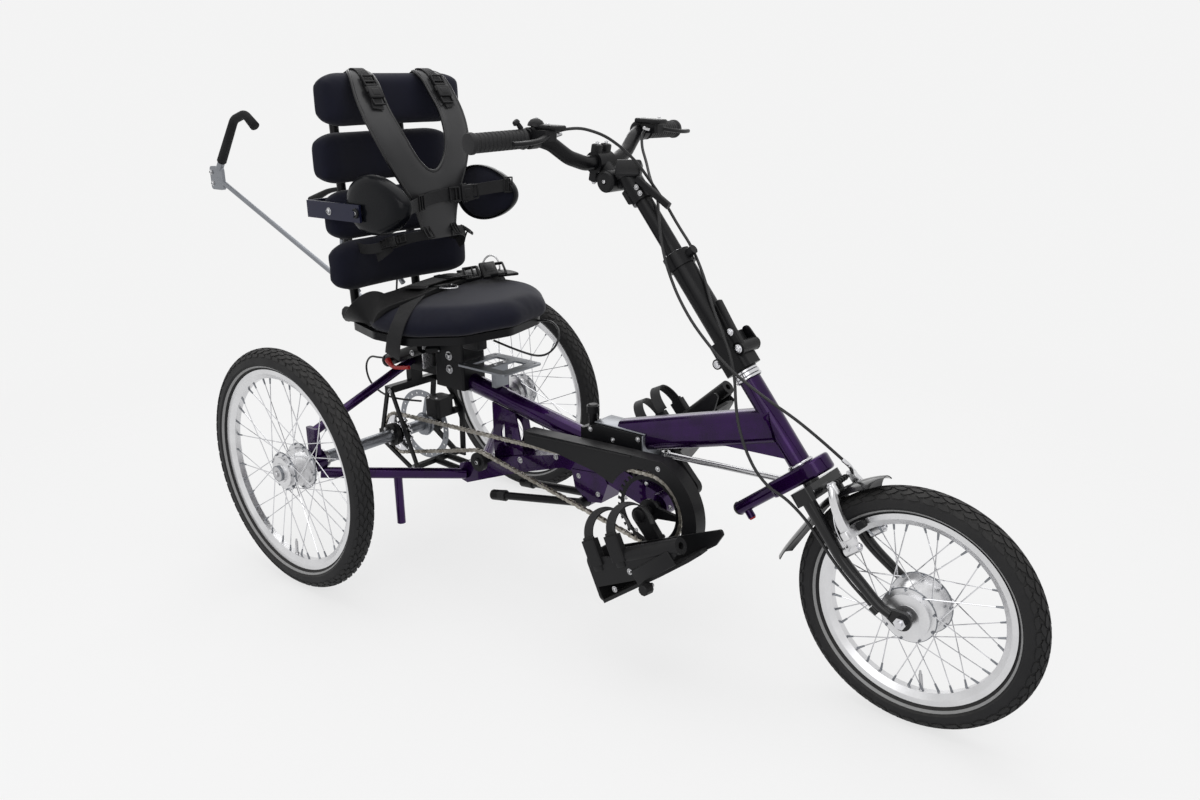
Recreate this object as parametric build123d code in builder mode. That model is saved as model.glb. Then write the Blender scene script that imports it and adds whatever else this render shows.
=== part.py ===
"""Therapy tricycle: two 20 inch wheels behind, a 16 inch steered wheel in front, a padded seat and
backrest, a shielded chain drive, foot sandals on the pedals and a push handle for a helper.

Millimetres. +X is forwards, +Y is the rider's left, +Z is up. The origin is on the floor, halfway along
the length and on the middle plane. Lengths along X in the tables below are counted from the rear axle.
"""

import math
import os

from build123d import *

os.makedirs("parts", exist_ok=True)

# ---------------------------------------------------------------- driving dimensions
WHEELBASE = 1167.0
TRACK = 666.0
TAIL = 746.0  # the push handle's rear end, behind the rear axle
REAR_TYRE_R = 250.0
FRONT_TYRE_R = 199.5
TYRE_W = 47.0
BEAD_H = 6.0  # how far a rim's edge stands above its tyre seat
REAR_RIM_R = 209.0
FRONT_RIM_R = 158.7
RIM_W = 25.0
RIM_DEPTH = 19.0
SPOKES = 36
SPOKE_R = 1.0
FIT = 0.3  # running and seating clearance

HEAD_ANGLE = 51.5  # degrees between the steering axis and the floor
FORK_RAKE = 47.0  # front axle ahead of the steering axis
FORK_DROP = 283.0  # front axle below the head tube, along the steering axis
HEAD_TUBE_L = 156.0
HEAD_TUBE_R = 18.5
STEERER_R = 14.3
BLADE_GAP = 90.0  # between the fork blades' centre lines
POST_LOWER_R = 21.0
POST_UPPER_R = 15.0
POST_SPLIT = 402.0  # where the upper post leaves the lower one
POST_TOP = 556.0

CRANK_X = 693.0
CRANK_Z = 254.0
CRANK_L = 86.0
CHAIN_Y = -56.0
CHAIN_PITCH = 12.7
CHAINRING_TEETH = 34
SPROCKET_TEETH = 22
AXLE_R = 13.0
SANDAL_Y = 142.0
SANDAL_W = 94.0
SANDAL_PITCH = 25.0  # toes up, degrees
SOLE_RISE = 12.0  # the sole against the heel wall's own square, degrees
SEAT_W = 376.0
SEAT_TOP = 541.0

REAR_X = (TAIL - WHEELBASE - FRONT_TYRE_R) / 2
HALF_TRACK = TRACK / 2


def at(x, y, z):
    """A point given from the rear axle, on the floor."""
    return Vector(REAR_X + x, y, z)


def save(part, name):
    part.label = name
    export_step(part, f"parts/{name}.step")


def bar(start, end, radius, bore=0.0, mode=Mode.ADD):
    """A round bar or tube from start to end, in the open part."""
    with BuildSketch(Plane(start, z_dir=end - start)) as section:
        Circle(radius)
        if bore:
            Circle(bore, mode=Mode.SUBTRACT)
    extrude(section.sketch, amount=(end - start).length, mode=mode)


def beam(start, end, width, height, corner, mode=Mode.ADD):
    """A bar of rounded oblong section; width lies along Y."""
    axis = (end - start).normalized()
    side = Vector(0, 1, 0)
    with BuildSketch(Plane(start, x_dir=side, z_dir=axis)) as section:
        RectangleRounded(width, height, corner)
    extrude(section.sketch, amount=(end - start).length, mode=mode)


def block(corner, opposite, mode=Mode.ADD, fillet_r=0.0):
    """A box between two opposite corners, with its upright edges rounded."""
    size = opposite - corner
    middle = (corner + opposite) * 0.5
    with BuildSketch(Plane(middle - Vector(0, 0, abs(size.Z) / 2))) as section:
        if fillet_r:
            RectangleRounded(abs(size.X), abs(size.Y), fillet_r)
        else:
            Rectangle(abs(size.X), abs(size.Y))
    extrude(section.sketch, amount=abs(size.Z), mode=mode)


def across(point, y):
    """The point moved towards the rider's left."""
    return point + Vector(0, y, 0)


def side_plane(y=0.0):
    """Drawing plane of a side view: local x forwards, local y up, normal towards the rider's right."""
    return Plane(at(0, y, 0), x_dir=(1, 0, 0), z_dir=(0, -1, 0))


# ---------------------------------------------------------------- steering axis
FRONT_AXLE = at(WHEELBASE, 0, FRONT_TYRE_R)
HEAD_RAD = math.radians(HEAD_ANGLE)
UP = Vector(-math.cos(HEAD_RAD), 0, math.sin(HEAD_RAD))
AHEAD = Vector(math.sin(HEAD_RAD), 0, math.cos(HEAD_RAD))
HEAD_FOOT = FRONT_AXLE + UP * FORK_DROP - AHEAD * FORK_RAKE


def steer(along, ahead=0.0, y=0.0):
    """A point by its distance up the steering axis from the head tube's foot, and ahead of the axis."""
    return HEAD_FOOT + UP * along + AHEAD * ahead + Vector(0, y, 0)


def steer_plane(along):
    """Plane across the steering axis: local x ahead, local y to the rider's left."""
    return Plane(steer(along), x_dir=AHEAD, z_dir=UP)


# ---------------------------------------------------------------- wheels
def spin_profile(centre, outline):
    """Revolve an outline of (radius, offset along Y) points about a wheel axis."""
    plane = Plane(centre, x_dir=(0, 0, 1), z_dir=(-1, 0, 0))
    with BuildSketch(plane) as section:
        with BuildLine():
            Polyline(*outline, close=True)
        make_face()
    revolve(section.sketch, axis=Axis(centre, (0, 1, 0)))


def make_tyre(name, centre, radius, rim_r):
    """An open-bellied tyre whose beads sit between the rim's edges."""
    half = TYRE_W / 2
    crown = radius - half
    bead_half = RIM_W / 2 - 2 - FIT
    seat = rim_r - BEAD_H + FIT
    plane = Plane(centre, x_dir=(0, 0, 1), z_dir=(-1, 0, 0))
    with BuildPart() as tyre:
        with BuildSketch(plane) as section:
            with Locations((crown, 0)):
                Circle(half)
            with Locations(((seat + crown) / 2, 0)):
                Rectangle(crown - seat, 2 * half)
            with Locations(((seat + rim_r + FIT) / 2, 0)):
                Rectangle(rim_r + FIT - seat, 2 * half, mode=Mode.SUBTRACT)
            with Locations(((seat + crown) / 2, 0)):
                Rectangle(crown - seat, 2 * bead_half)
            with Locations((crown, 0)):
                Circle(half - 4, mode=Mode.SUBTRACT)
            with Locations(((seat + crown) / 2 - 1, 0)):
                Rectangle(crown - seat + 2, 2 * (bead_half - 3), mode=Mode.SUBTRACT)
        revolve(section.sketch, axis=Axis(centre, (0, 1, 0)))
    save(tyre.part, name)


def make_rim(name, centre, rim_r):
    """A box-section rim with hooked edges, its bed open to the tyre."""
    half = RIM_W / 2
    seat = rim_r - BEAD_H
    inner = rim_r - RIM_DEPTH
    lip = 2.0
    outline = [
        (rim_r, -half),
        (rim_r, -half + lip),
        (seat, -half + lip),
        (seat, -half + 5),
        (seat - 3.5, -half + 7),
        (seat - 3.5, half - 7),
        (seat, half - 5),
        (seat, half - lip),
        (rim_r, half - lip),
        (rim_r, half),
        (seat - 3, half),
        (inner, 6),
        (inner, -6),
        (seat - 3, -half),
    ]
    with BuildPart() as rim:
        spin_profile(centre, outline)
    save(rim.part, name)


def make_spokes(name, centre, rim_r, flanges, lean):
    """Crossed spokes between two hub flanges, each (radius, offset), and the rim.

    lean is how far round the rim a spoke leans, in spoke spacings.
    """
    rim_end = rim_r - RIM_DEPTH - 2 * FIT
    step = 360 / SPOKES
    with BuildPart() as spokes:
        for i in range(SPOKES):
            flange_r, offset = flanges[i % 2]
            side = 1 if offset > 0 else -1
            leading = 1 if (i // 2) % 2 else -1
            head_r = flange_r - 1.8
            head_y = offset + side * 3.4 * leading
            hub_angle = math.radians((i + lean * leading) * step)
            rim_angle = math.radians(i * step)
            foot = centre + Vector(head_r * math.cos(hub_angle), head_y, head_r * math.sin(hub_angle))
            tip = centre + Vector(rim_end * math.cos(rim_angle), side * 2.0, rim_end * math.sin(rim_angle))
            with BuildSketch(Plane(foot, z_dir=tip - foot)) as section:
                RegularPolygon(SPOKE_R, 6)
            extrude(section.sketch, amount=(tip - foot).length)
    save(spokes.part, name)


REAR_FLANGES = ((38.5, -14.0), (47.0, 26.0))  # (radius, offset towards the middle), outer then inner
FRONT_FLANGES = ((44.0, -27.0), (50.0, 21.0))
FLANGE_T = 3.0
HUB_OUT = 27.0  # a rear hub's outer face, beyond the wheel's middle plane
HUB_IN = 43.0
CAP_R = 16.0

REAR_AXLE_Z = REAR_TYRE_R
LEFT_WHEEL = at(0, HALF_TRACK, REAR_AXLE_Z)
RIGHT_WHEEL = at(0, -HALF_TRACK, REAR_AXLE_Z)


def hub_outline(flanges, out_end, in_end, bore, side):
    """A hub's half section: end cap, small flange, tapered shell, large flange and inner nose."""
    (small_r, small_y), (large_r, large_y) = flanges
    t = FLANGE_T / 2
    shell_small = small_r - 8
    shell_large = large_r - 7
    points = [
        (bore, -out_end),
        (CAP_R + 4, -out_end),
        (CAP_R + 4, small_y - 9),
        (shell_small, small_y - 7),
        (shell_small, small_y - t),
        (small_r, small_y - t),
        (small_r, small_y + t),
        (shell_small, small_y + t),
        (shell_large, large_y - t),
        (large_r, large_y - t),
        (large_r, large_y + t),
        (shell_large, large_y + t),
        (shell_large - 6, large_y + 7),
        (CAP_R + 6, large_y + 8),
        (CAP_R + 6, in_end),
        (bore, in_end),
    ]
    return [(r, side * y) for r, y in points]


for prefix, centre, side in (("rear_right", RIGHT_WHEEL, 1), ("rear_left", LEFT_WHEEL, -1)):
    make_tyre(f"{prefix}_tyre", centre, REAR_TYRE_R, REAR_RIM_R)
    make_rim(f"{prefix}_rim", centre, REAR_RIM_R)
    flanges = tuple((r, side * y) for r, y in REAR_FLANGES)
    make_spokes(f"{prefix}_spokes", centre, REAR_RIM_R, flanges, 6)
    with BuildPart() as hub:
        spin_profile(centre, hub_outline(REAR_FLANGES, HUB_OUT, HUB_IN, AXLE_R + FIT, side))
    save(hub.part, f"{prefix}_hub")

make_tyre("front_tyre", FRONT_AXLE, FRONT_TYRE_R, FRONT_RIM_R)
make_rim("front_rim", FRONT_AXLE, FRONT_RIM_R)
make_spokes("front_spokes", FRONT_AXLE, FRONT_RIM_R, FRONT_FLANGES, 4)
FRONT_AXLE_R = 4.8
FRONT_HUB_OUT = 37.0
FRONT_HUB_IN = 36.0
with BuildPart() as front_hub:
    spin_profile(FRONT_AXLE, hub_outline(FRONT_FLANGES, FRONT_HUB_OUT, FRONT_HUB_IN, FRONT_AXLE_R + FIT, 1))
save(front_hub.part, "front_hub")

# ---------------------------------------------------------------- drive axle, sprocket and brake disc
DISC_Y = 18.0
DISC_R = 80.0
DISC_T = 2.0
AXLE_INNER_Y = 62.0
REAR_AXLE = at(0, 0, REAR_AXLE_Z)
AXLE_CAP_T = 4.0


def on_axle(y):
    return REAR_AXLE + Vector(0, y, 0)


def wheel_plane(centre, y):
    """Side-view plane through a wheel's axis, its normal towards the rider's left."""
    return Plane(centre + Vector(0, y, 0), x_dir=(0, 0, 1), z_dir=(0, 1, 0))


HUB_FACE = HALF_TRACK + HUB_OUT
with BuildPart() as drive_axle:
    bar(on_axle(-HUB_FACE - AXLE_CAP_T), on_axle(AXLE_INNER_Y), AXLE_R)
    bar(on_axle(-HUB_FACE - AXLE_CAP_T), on_axle(-HUB_FACE - FIT), CAP_R)
save(drive_axle.part, "drive_axle")


def pitch_radius(teeth):
    return CHAIN_PITCH / (2 * math.sin(math.pi / teeth))


CHAINRING_PR = pitch_radius(CHAINRING_TEETH)
SPROCKET_PR = pitch_radius(SPROCKET_TEETH)
TOOTH_T = 2.4
ROLLER_R = 3.9


def toothed(plane, teeth):
    """A toothed outline: a round blank with a roller seat cut between each pair of teeth."""
    radius = pitch_radius(teeth)
    with BuildSketch(plane) as section:
        Circle(radius + 2.6)
        with PolarLocations(radius, teeth):
            Circle(ROLLER_R + 0.4, mode=Mode.SUBTRACT)
    extrude(section.sketch, amount=TOOTH_T / 2, both=True)


with BuildPart() as rear_sprocket:
    toothed(wheel_plane(REAR_AXLE, CHAIN_Y), SPROCKET_TEETH)
    bar(on_axle(CHAIN_Y - 6), on_axle(CHAIN_Y + 10), 24)
    with BuildSketch(wheel_plane(REAR_AXLE, CHAIN_Y)) as lightening:
        with PolarLocations(31, 6):
            Circle(4.5)
    extrude(lightening.sketch, amount=TOOTH_T, both=True, mode=Mode.SUBTRACT)
    bar(on_axle(CHAIN_Y - 10), on_axle(CHAIN_Y + 14), AXLE_R + FIT, mode=Mode.SUBTRACT)
save(rear_sprocket.part, "rear_sprocket")

with BuildPart() as disc_rotor:
    with BuildSketch(wheel_plane(REAR_AXLE, DISC_Y)) as face:
        Circle(DISC_R)
        Circle(DISC_R - 15, mode=Mode.SUBTRACT)
        with PolarLocations(DISC_R - 7.5, 24):
            Circle(2.6, mode=Mode.SUBTRACT)
        with PolarLocations(0, 6):
            with BuildLine():
                Polyline((20, -5), (DISC_R - 10, 10), (DISC_R - 10, 17), (20, 6), close=True)
            make_face()
        Circle(27)
    extrude(face.sketch, amount=DISC_T / 2, both=True)
    bar(on_axle(DISC_Y - 8), on_axle(DISC_Y + 8), 24)
    bar(on_axle(DISC_Y - 10), on_axle(DISC_Y + 10), AXLE_R + FIT, mode=Mode.SUBTRACT)
save(disc_rotor.part, "disc_rotor")

# ---------------------------------------------------------------- front frame: beam, head tube, gusset
BEAM_W = 44.0
BEAM_H = 60.0
BEAM_REAR = at(598, 0, 361)
BEAM_HEAD = steer(HEAD_TUBE_L * 0.45)
BEAM_DIR = (BEAM_HEAD - BEAM_REAR).normalized()
with BuildPart() as front_beam:
    beam(BEAM_REAR, BEAM_HEAD, BEAM_W, BEAM_H, 17)
    bar(steer(0), steer(HEAD_TUBE_L), HEAD_TUBE_R)
    with BuildSketch(side_plane()) as gusset:
        with BuildLine():
            Polyline(
                *[
                    (p.X - REAR_X, p.Z)
                    for p in (
                        steer(HEAD_TUBE_L * 0.4),
                        steer(8),
                        BEAM_HEAD - BEAM_DIR * 105 - Vector(0, 0, BEAM_H * 0.42),
                        BEAM_HEAD - BEAM_DIR * 90,
                    )
                ],
                close=True,
            )
        make_face()
    extrude(gusset.sketch, amount=BEAM_W * 0.36, both=True)
    bar(steer(-1), steer(HEAD_TUBE_L + 1), STEERER_R + FIT, mode=Mode.SUBTRACT)
save(front_beam.part, "front_beam")

# ---------------------------------------------------------------- steering: fork, plate, post, bars
CROWN_TOP = -38.0
CROWN_T = 24.0
BLADE_R = 11.5
TIP_R = 8.0
HALF_GAP = BLADE_GAP / 2
DROPOUT_Y = HALF_GAP * 1.14
DROPOUT_T = 6.0
BLADE_END = (-FORK_DROP + 16.0, FORK_RAKE - 11.0)  # along and ahead of the steering axis
CUP_R = 21.0
PLATE_TOP = -5.5
PLATE_T = 28.0
with BuildPart() as fork:
    bar(steer(CROWN_TOP - CROWN_T), steer(HEAD_TUBE_L + 14), STEERER_R)
    with BuildSketch(steer_plane(CROWN_TOP - CROWN_T)) as crown:
        with Locations((6, 0)):
            RectangleRounded(40, BLADE_GAP + 2 * BLADE_R, 11)
    extrude(crown.sketch, amount=CROWN_T)
    for side in (-1, 1):
        y = side * HALF_GAP
        with BuildLine() as blade:
            b1 = Line(steer(CROWN_TOP - 14, 8, y), steer(-150, 6, y))
            Spline(
                [b1 @ 1, steer(-220, 18, y * 1.07), steer(BLADE_END[0], BLADE_END[1], y * 1.14)],
                tangents=[b1 % 1, (AHEAD * 0.6 - UP * 0.8)],
            )
        with BuildSketch(Plane(blade.line @ 0, z_dir=blade.line % 0)) as root_section:
            Circle(BLADE_R)
        with BuildSketch(Plane(blade.line @ 1, z_dir=blade.line % 1)) as tip_section:
            Circle(TIP_R)
        sweep(sections=[root_section.sketch, tip_section.sketch], path=blade.line, multisection=True)
        dropout_plane = Plane(across(FRONT_AXLE, side * DROPOUT_Y), x_dir=AHEAD, z_dir=(0, 1, 0))
        with BuildSketch(dropout_plane) as dropout:
            Circle(15)
            with Locations((BLADE_END[1] - FORK_RAKE, -(BLADE_END[0] + FORK_DROP))):
                Circle(9)
            make_hull()
        extrude(dropout.sketch, amount=DROPOUT_T / 2, both=True)
    bar(steer(-245.8, 11.2, -49), steer(-259, 15, -49), 6.5)
    bar(
        across(FRONT_AXLE, -60),
        across(FRONT_AXLE, 60),
        FRONT_AXLE_R + FIT,
        mode=Mode.SUBTRACT,
    )
save(fork.part, "fork")

NUT_R = 10.0
with BuildPart() as front_axle:
    bar(FRONT_AXLE + Vector(0, -66, 0), FRONT_AXLE + Vector(0, 66, 0), FRONT_AXLE_R)
    for side in (-1, 1):
        nut = (DROPOUT_Y + DROPOUT_T / 2 + FIT, 8, NUT_R, 6)
        cone = (FRONT_HUB_OUT + 1, 9, 8, 24)
        for start, length, radius, sides in (nut, cone):
            foot = FRONT_AXLE + Vector(0, side * start, 0)
            with BuildSketch(Plane(foot, x_dir=(1, 0, 0), z_dir=(0, side, 0))) as nut:
                RegularPolygon(radius, sides)
            extrude(nut.sketch, amount=length)
save(front_axle.part, "front_axle")

PEG_R = 11.5
PEG_END = -155.0
with BuildPart() as steering_plate:
    with BuildSketch(steer_plane(PLATE_TOP - PLATE_T)) as outline:
        with Locations((22, 0)):
            Circle(28)
        with Locations((-56, 0)):
            Circle(19)
        make_hull()
    extrude(outline.sketch, amount=PLATE_T)
    fillet(steering_plate.edges().filter_by(GeomType.CIRCLE), 5)
    mid = PLATE_TOP - PLATE_T / 2
    bar(steer(mid, -60), steer(mid, PEG_END), PEG_R)
    bar(steer(mid, PEG_END + 14), steer(mid - 24, PEG_END + 14), 7)
    bar(steer(mid, -58, 12), steer(mid, -58, 24.5), 4)
    bar(steer(PLATE_TOP), steer(PLATE_TOP + 5), CUP_R)
    bar(steer(PLATE_TOP - PLATE_T - 1), steer(1), STEERER_R + FIT, mode=Mode.SUBTRACT)
save(steering_plate.part, "steering_plate")

GUARD_R = 213.0
GUARD_T = 2.2
GUARD_W = 56.0


def about_front_axle(angle, radius):
    return (
        WHEELBASE + radius * math.cos(math.radians(angle)),
        FRONT_TYRE_R + radius * math.sin(math.radians(angle)),
    )


with BuildPart() as mudguard:
    with BuildSketch(side_plane()) as strip:
        with BuildLine():
            inner = ThreePointArc(*[about_front_axle(a, GUARD_R) for a in (111, 131, 152)])
            flap_in = Line(inner @ 1, about_front_axle(176, GUARD_R + 21))
            flap_end = Line(flap_in @ 1, about_front_axle(176, GUARD_R + 21 + GUARD_T))
            outer = ThreePointArc(*[about_front_axle(a, GUARD_R + GUARD_T) for a in (152, 131, 111)])
            Line(flap_end @ 1, outer @ 0)
            Line(outer @ 1, inner @ 0)
        make_face()
    extrude(strip.sketch, amount=GUARD_W / 2, both=True)
    bar(steer(CROWN_TOP - CROWN_T - FIT), steer(CROWN_TOP - CROWN_T - 13), 9)
save(mudguard.part, "mudguard")

PIVOT_S = -156.0
ARM_TOP_S = -56.0
PAD_R = 151.0  # from the axle, on the rim's braking band
PAD_LEAN = math.radians(-6)
PAD_OUT = UP * math.cos(PAD_LEAN) + AHEAD * math.sin(PAD_LEAN)
PAD_ALONG = AHEAD * math.cos(PAD_LEAN) - UP * math.sin(PAD_LEAN)
PAD_Y = RIM_W / 2 + 2
with BuildPart() as brake_arms:
    for side in (-1, 1):
        pivot = steer(PIVOT_S, 8 + BLADE_R + FIT, side * HALF_GAP)
        bar(pivot, pivot + AHEAD * 26, 8)
        with BuildLine() as arm:
            Spline(
                pivot + AHEAD * 18,
                steer(PIVOT_S + 48, 43, side * (HALF_GAP + 4)),
                steer(ARM_TOP_S, 52, side * 36),
            )
        with BuildSketch(Plane(arm.line @ 0, z_dir=arm.line % 0)) as arm_section:
            Circle(5.5)
        sweep(arm_section.sketch, path=arm.line)
        pad_at = across(FRONT_AXLE + PAD_OUT * PAD_R, side * PAD_Y)
        bar(across(pad_at, side * 4), steer(PIVOT_S + 24, 41, side * (HALF_GAP + 2)), 4.5)
        with BuildSketch(Plane(pad_at, x_dir=PAD_ALONG, z_dir=(0, side, 0))) as pad:
            SlotOverall(54, 11)
        extrude(pad.sketch, amount=6)
    bar(steer(ARM_TOP_S, 52, -38), steer(ARM_TOP_S, 52, 38), 2.5)
    with BuildLine() as noodle:
        FilletPolyline(
            steer(-28.4, 77, -8),
            steer(-44, 79, -2),
            steer(-55, 70, 10),
            steer(ARM_TOP_S, 54, 26),
            radius=(9, 9),
        )
    with BuildSketch(Plane(noodle.line @ 0, z_dir=noodle.line % 0)) as noodle_section:
        Circle(3)
    sweep(noodle_section.sketch, path=noodle.line)
save(brake_arms.part, "brake_arms")

HINGE_FOOT = 176.0
HINGE_TOP = 236.0
with BuildPart() as post_hinge:
    bar(steer(HEAD_TUBE_L + 0.5), steer(HINGE_FOOT), CUP_R)
    with BuildSketch(steer_plane(HINGE_FOOT)) as lower_block:
        RectangleRounded(52, 46, 9)
    extrude(lower_block.sketch, amount=HINGE_TOP - HINGE_FOOT - FIT)
    bar(steer(206, 28, -26), steer(206, 28, 26), 11)
    bar(steer(206, -30, -17), steer(206, -30, 17), 9)
    bar(steer(HEAD_TUBE_L), steer(HEAD_TUBE_L + 15), STEERER_R + FIT, mode=Mode.SUBTRACT)
    with BuildLine() as lever_line:
        Polyline(steer(200, 34, -20), steer(240, 34, -18), steer(292, 30, -6))
    lever_plane = Plane(lever_line.line @ 0, x_dir=(0, 1, 0), z_dir=lever_line.line % 0)
    with BuildSketch(lever_plane) as lever_section:
        RectangleRounded(12, 9, 3)
    sweep(lever_section.sketch, path=lever_line.line, transition=Transition.RIGHT)
save(post_hinge.part, "post_hinge")

COLLAR_L = 26.0
with BuildPart() as post_lower:
    bar(steer(HINGE_TOP), steer(POST_SPLIT), POST_LOWER_R)
    bar(steer(POST_SPLIT - COLLAR_L), steer(POST_SPLIT), POST_LOWER_R + 3.5)
    bar(steer(POST_SPLIT - 13, POST_LOWER_R, 0), steer(POST_SPLIT - 13, POST_LOWER_R + 16, 0), 8)
    bar(steer(POST_SPLIT - 70), steer(POST_SPLIT + 1), POST_UPPER_R + FIT, mode=Mode.SUBTRACT)
save(post_lower.part, "post_lower")

with BuildPart() as post_upper:
    bar(steer(POST_SPLIT - 69), steer(POST_TOP), POST_UPPER_R)
save(post_upper.part, "post_upper")

BAR_R = 12.5
CLAMP = at(543, 0, 852)
with BuildPart() as stem:
    bar(steer(POST_TOP - 46), steer(POST_TOP + 6), POST_UPPER_R + 5)
    joint_at = at(574, 0, 822)
    bar(steer(POST_TOP - 8), joint_at, 15)
    bar(joint_at + Vector(0, -25, 0), joint_at + Vector(0, 25, 0), 19)
    bar(joint_at, CLAMP, 14)
    bar(CLAMP + Vector(0, -20, 0), CLAMP + Vector(0, 20, 0), BAR_R + 6)
    lever_root = steer(POST_TOP - 14, POST_UPPER_R + 6, -14)
    with BuildSketch(Plane(lever_root, x_dir=(0, 1, 0), z_dir=AHEAD * 0.35 - UP)) as lever:
        RectangleRounded(9, 12, 3)
    extrude(lever.sketch, amount=78)
    bar(steer(POST_TOP - 47), steer(POST_TOP + FIT), POST_UPPER_R + FIT, mode=Mode.SUBTRACT)
    bar(CLAMP + Vector(0, -40, 0), CLAMP + Vector(0, 40, 0), BAR_R + FIT, mode=Mode.SUBTRACT)
save(stem.part, "stem")

GRIP_IN = 162.0
GRIP_OUT = 269.0
BAR_END = at(504.7, GRIP_OUT, 895.5)
BAR_GRIP = at(516.5, GRIP_IN, 898.0)
bar_routes = {}
with BuildPart() as handlebar:
    for side in (-1, 1):
        points = [
            CLAMP,
            CLAMP + Vector(0, 42, 0),
            at(537, 78, 864),
            at(529, 112, 888),
            at(521, 138, 897.5),
            BAR_GRIP,
            BAR_END,
        ]
        points = [Vector(p.X, side * p.Y, p.Z) for p in points]
        with BuildLine() as route:
            FilletPolyline(*points, radius=(45, 55, 45, 60, 100))
        bar_routes[side] = route.line
        with BuildSketch(Plane(route.line @ 0, z_dir=route.line % 0)) as bar_section:
            Circle(BAR_R)
            Circle(BAR_R - 2.5, mode=Mode.SUBTRACT)
        sweep(bar_section.sketch, path=route.line)
save(handlebar.part, "handlebar")

GRIP_R = 16.0
GRIP_DIR = (BAR_END - BAR_GRIP).normalized()
with BuildPart() as grips:
    for side in (-1, 1):
        start = Vector(BAR_GRIP.X, side * BAR_GRIP.Y, BAR_GRIP.Z)
        out = Vector(GRIP_DIR.X, side * GRIP_DIR.Y, GRIP_DIR.Z)
        end = Vector(BAR_END.X, side * BAR_END.Y, BAR_END.Z)
        bar(start, end + out * 4, GRIP_R)
        bar(start - out, end + out * 0.5, BAR_R + FIT, mode=Mode.SUBTRACT)
save(grips.part, "grips")

with BuildPart() as brake_levers:
    for side in (-1, 1):
        out = Vector(GRIP_DIR.X, side * GRIP_DIR.Y, GRIP_DIR.Z)
        root = Vector(BAR_GRIP.X, side * BAR_GRIP.Y, BAR_GRIP.Z) - out * 16
        bar(root - out * 8, root + out * 8, BAR_R + 5)
        block(root + Vector(8, -13, -4), root + Vector(46, 13, 13), fillet_r=5)
        with BuildLine() as blade:
            Spline(
                root + Vector(38, side * 4, 5),
                root + Vector(48, side * 28, 0),
                root + Vector(44, side * 88, -4),
            )
        with BuildSketch(Plane(blade.line @ 0, x_dir=(0, 0, 1), z_dir=blade.line % 0)) as blade_section:
            RectangleRounded(7, 11, 3)
        sweep(blade_section.sketch, path=blade.line)
        with BuildSketch(Plane(bar_routes[side] @ 0, z_dir=bar_routes[side] % 0)) as bar_bore:
            Circle(BAR_R + FIT)
        sweep(bar_bore.sketch, path=bar_routes[side], mode=Mode.SUBTRACT)
save(brake_levers.part, "brake_levers")

# ---------------------------------------------------------------- crank, chainring and pedals
CRANK = at(CRANK_X, 0, CRANK_Z)
CRANK_ANGLE = -48.8  # of the right crank, from straight ahead
CRANK_DIR = Vector(math.cos(math.radians(CRANK_ANGLE)), 0, math.sin(math.radians(CRANK_ANGLE)))
ARM_IN = 75.0
ARM_T = 13.0
SPINDLE_R = 9.5


def crank_plane(y, centre=CRANK):
    return Plane(across(centre, y), x_dir=(1, 0, 0), z_dir=(0, -1, 0))


with BuildPart() as chainring:
    toothed(crank_plane(CHAIN_Y), CHAINRING_TEETH)
    with BuildSketch(crank_plane(CHAIN_Y)) as opening:
        Circle(CHAINRING_PR - 11)
    extrude(opening.sketch, amount=TOOTH_T, both=True, mode=Mode.SUBTRACT)
    with BuildSketch(crank_plane(CHAIN_Y)) as spider:
        Circle(21)
        with PolarLocations(0, 5, start_angle=CRANK_ANGLE):
            with BuildLine():
                Polyline((10, -12), (CHAINRING_PR - 8, -5), (CHAINRING_PR - 8, 5), (10, 12), close=True)
            make_face()
    extrude(spider.sketch, amount=3.5, both=True)
    bar(across(CRANK, CHAIN_Y - 8), across(CRANK, CHAIN_Y + 8), SPINDLE_R + FIT, mode=Mode.SUBTRACT)
save(chainring.part, "chainring")

with BuildPart() as crankset:
    bar(across(CRANK, -ARM_IN - 1), across(CRANK, ARM_IN + 1), SPINDLE_R)
    for side in (-1, 1):
        pedal_at = CRANK + CRANK_DIR * (CRANK_L if side < 0 else -CRANK_L)
        arm_plane = Plane(across(CRANK, side * ARM_IN), x_dir=(1, 0, 0), z_dir=(0, side, 0))
        with BuildSketch(arm_plane) as arm_outline:
            Circle(16)
            with Locations(((pedal_at - CRANK).X, -side * (pedal_at - CRANK).Z)):
                Circle(13)
            make_hull()
        extrude(arm_outline.sketch, amount=ARM_T)
save(crankset.part, "crankset")

PEDAL_IN = ARM_IN + ARM_T
SANDAL_IN = SANDAL_Y - SANDAL_W / 2
SANDAL_OUT = SANDAL_Y + SANDAL_W / 2
SOLE_T = 6.0
SOLE_W = -28.0  # the sole's top face, below the pedal's spindle
HEEL_U = -76.0
TOE_U = 128.0
SOLE_L = (TOE_U - HEEL_U) / math.cos(math.radians(SOLE_RISE))
TOE_W = SOLE_W - 6.0 + SOLE_L * math.sin(math.radians(SOLE_RISE))
HEEL_H = 88.0
STRAP_U = (-60.0, -6.0)
BUCKLE_FOOT = 34.0
BUCKLE_TOP = 80.0


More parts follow.
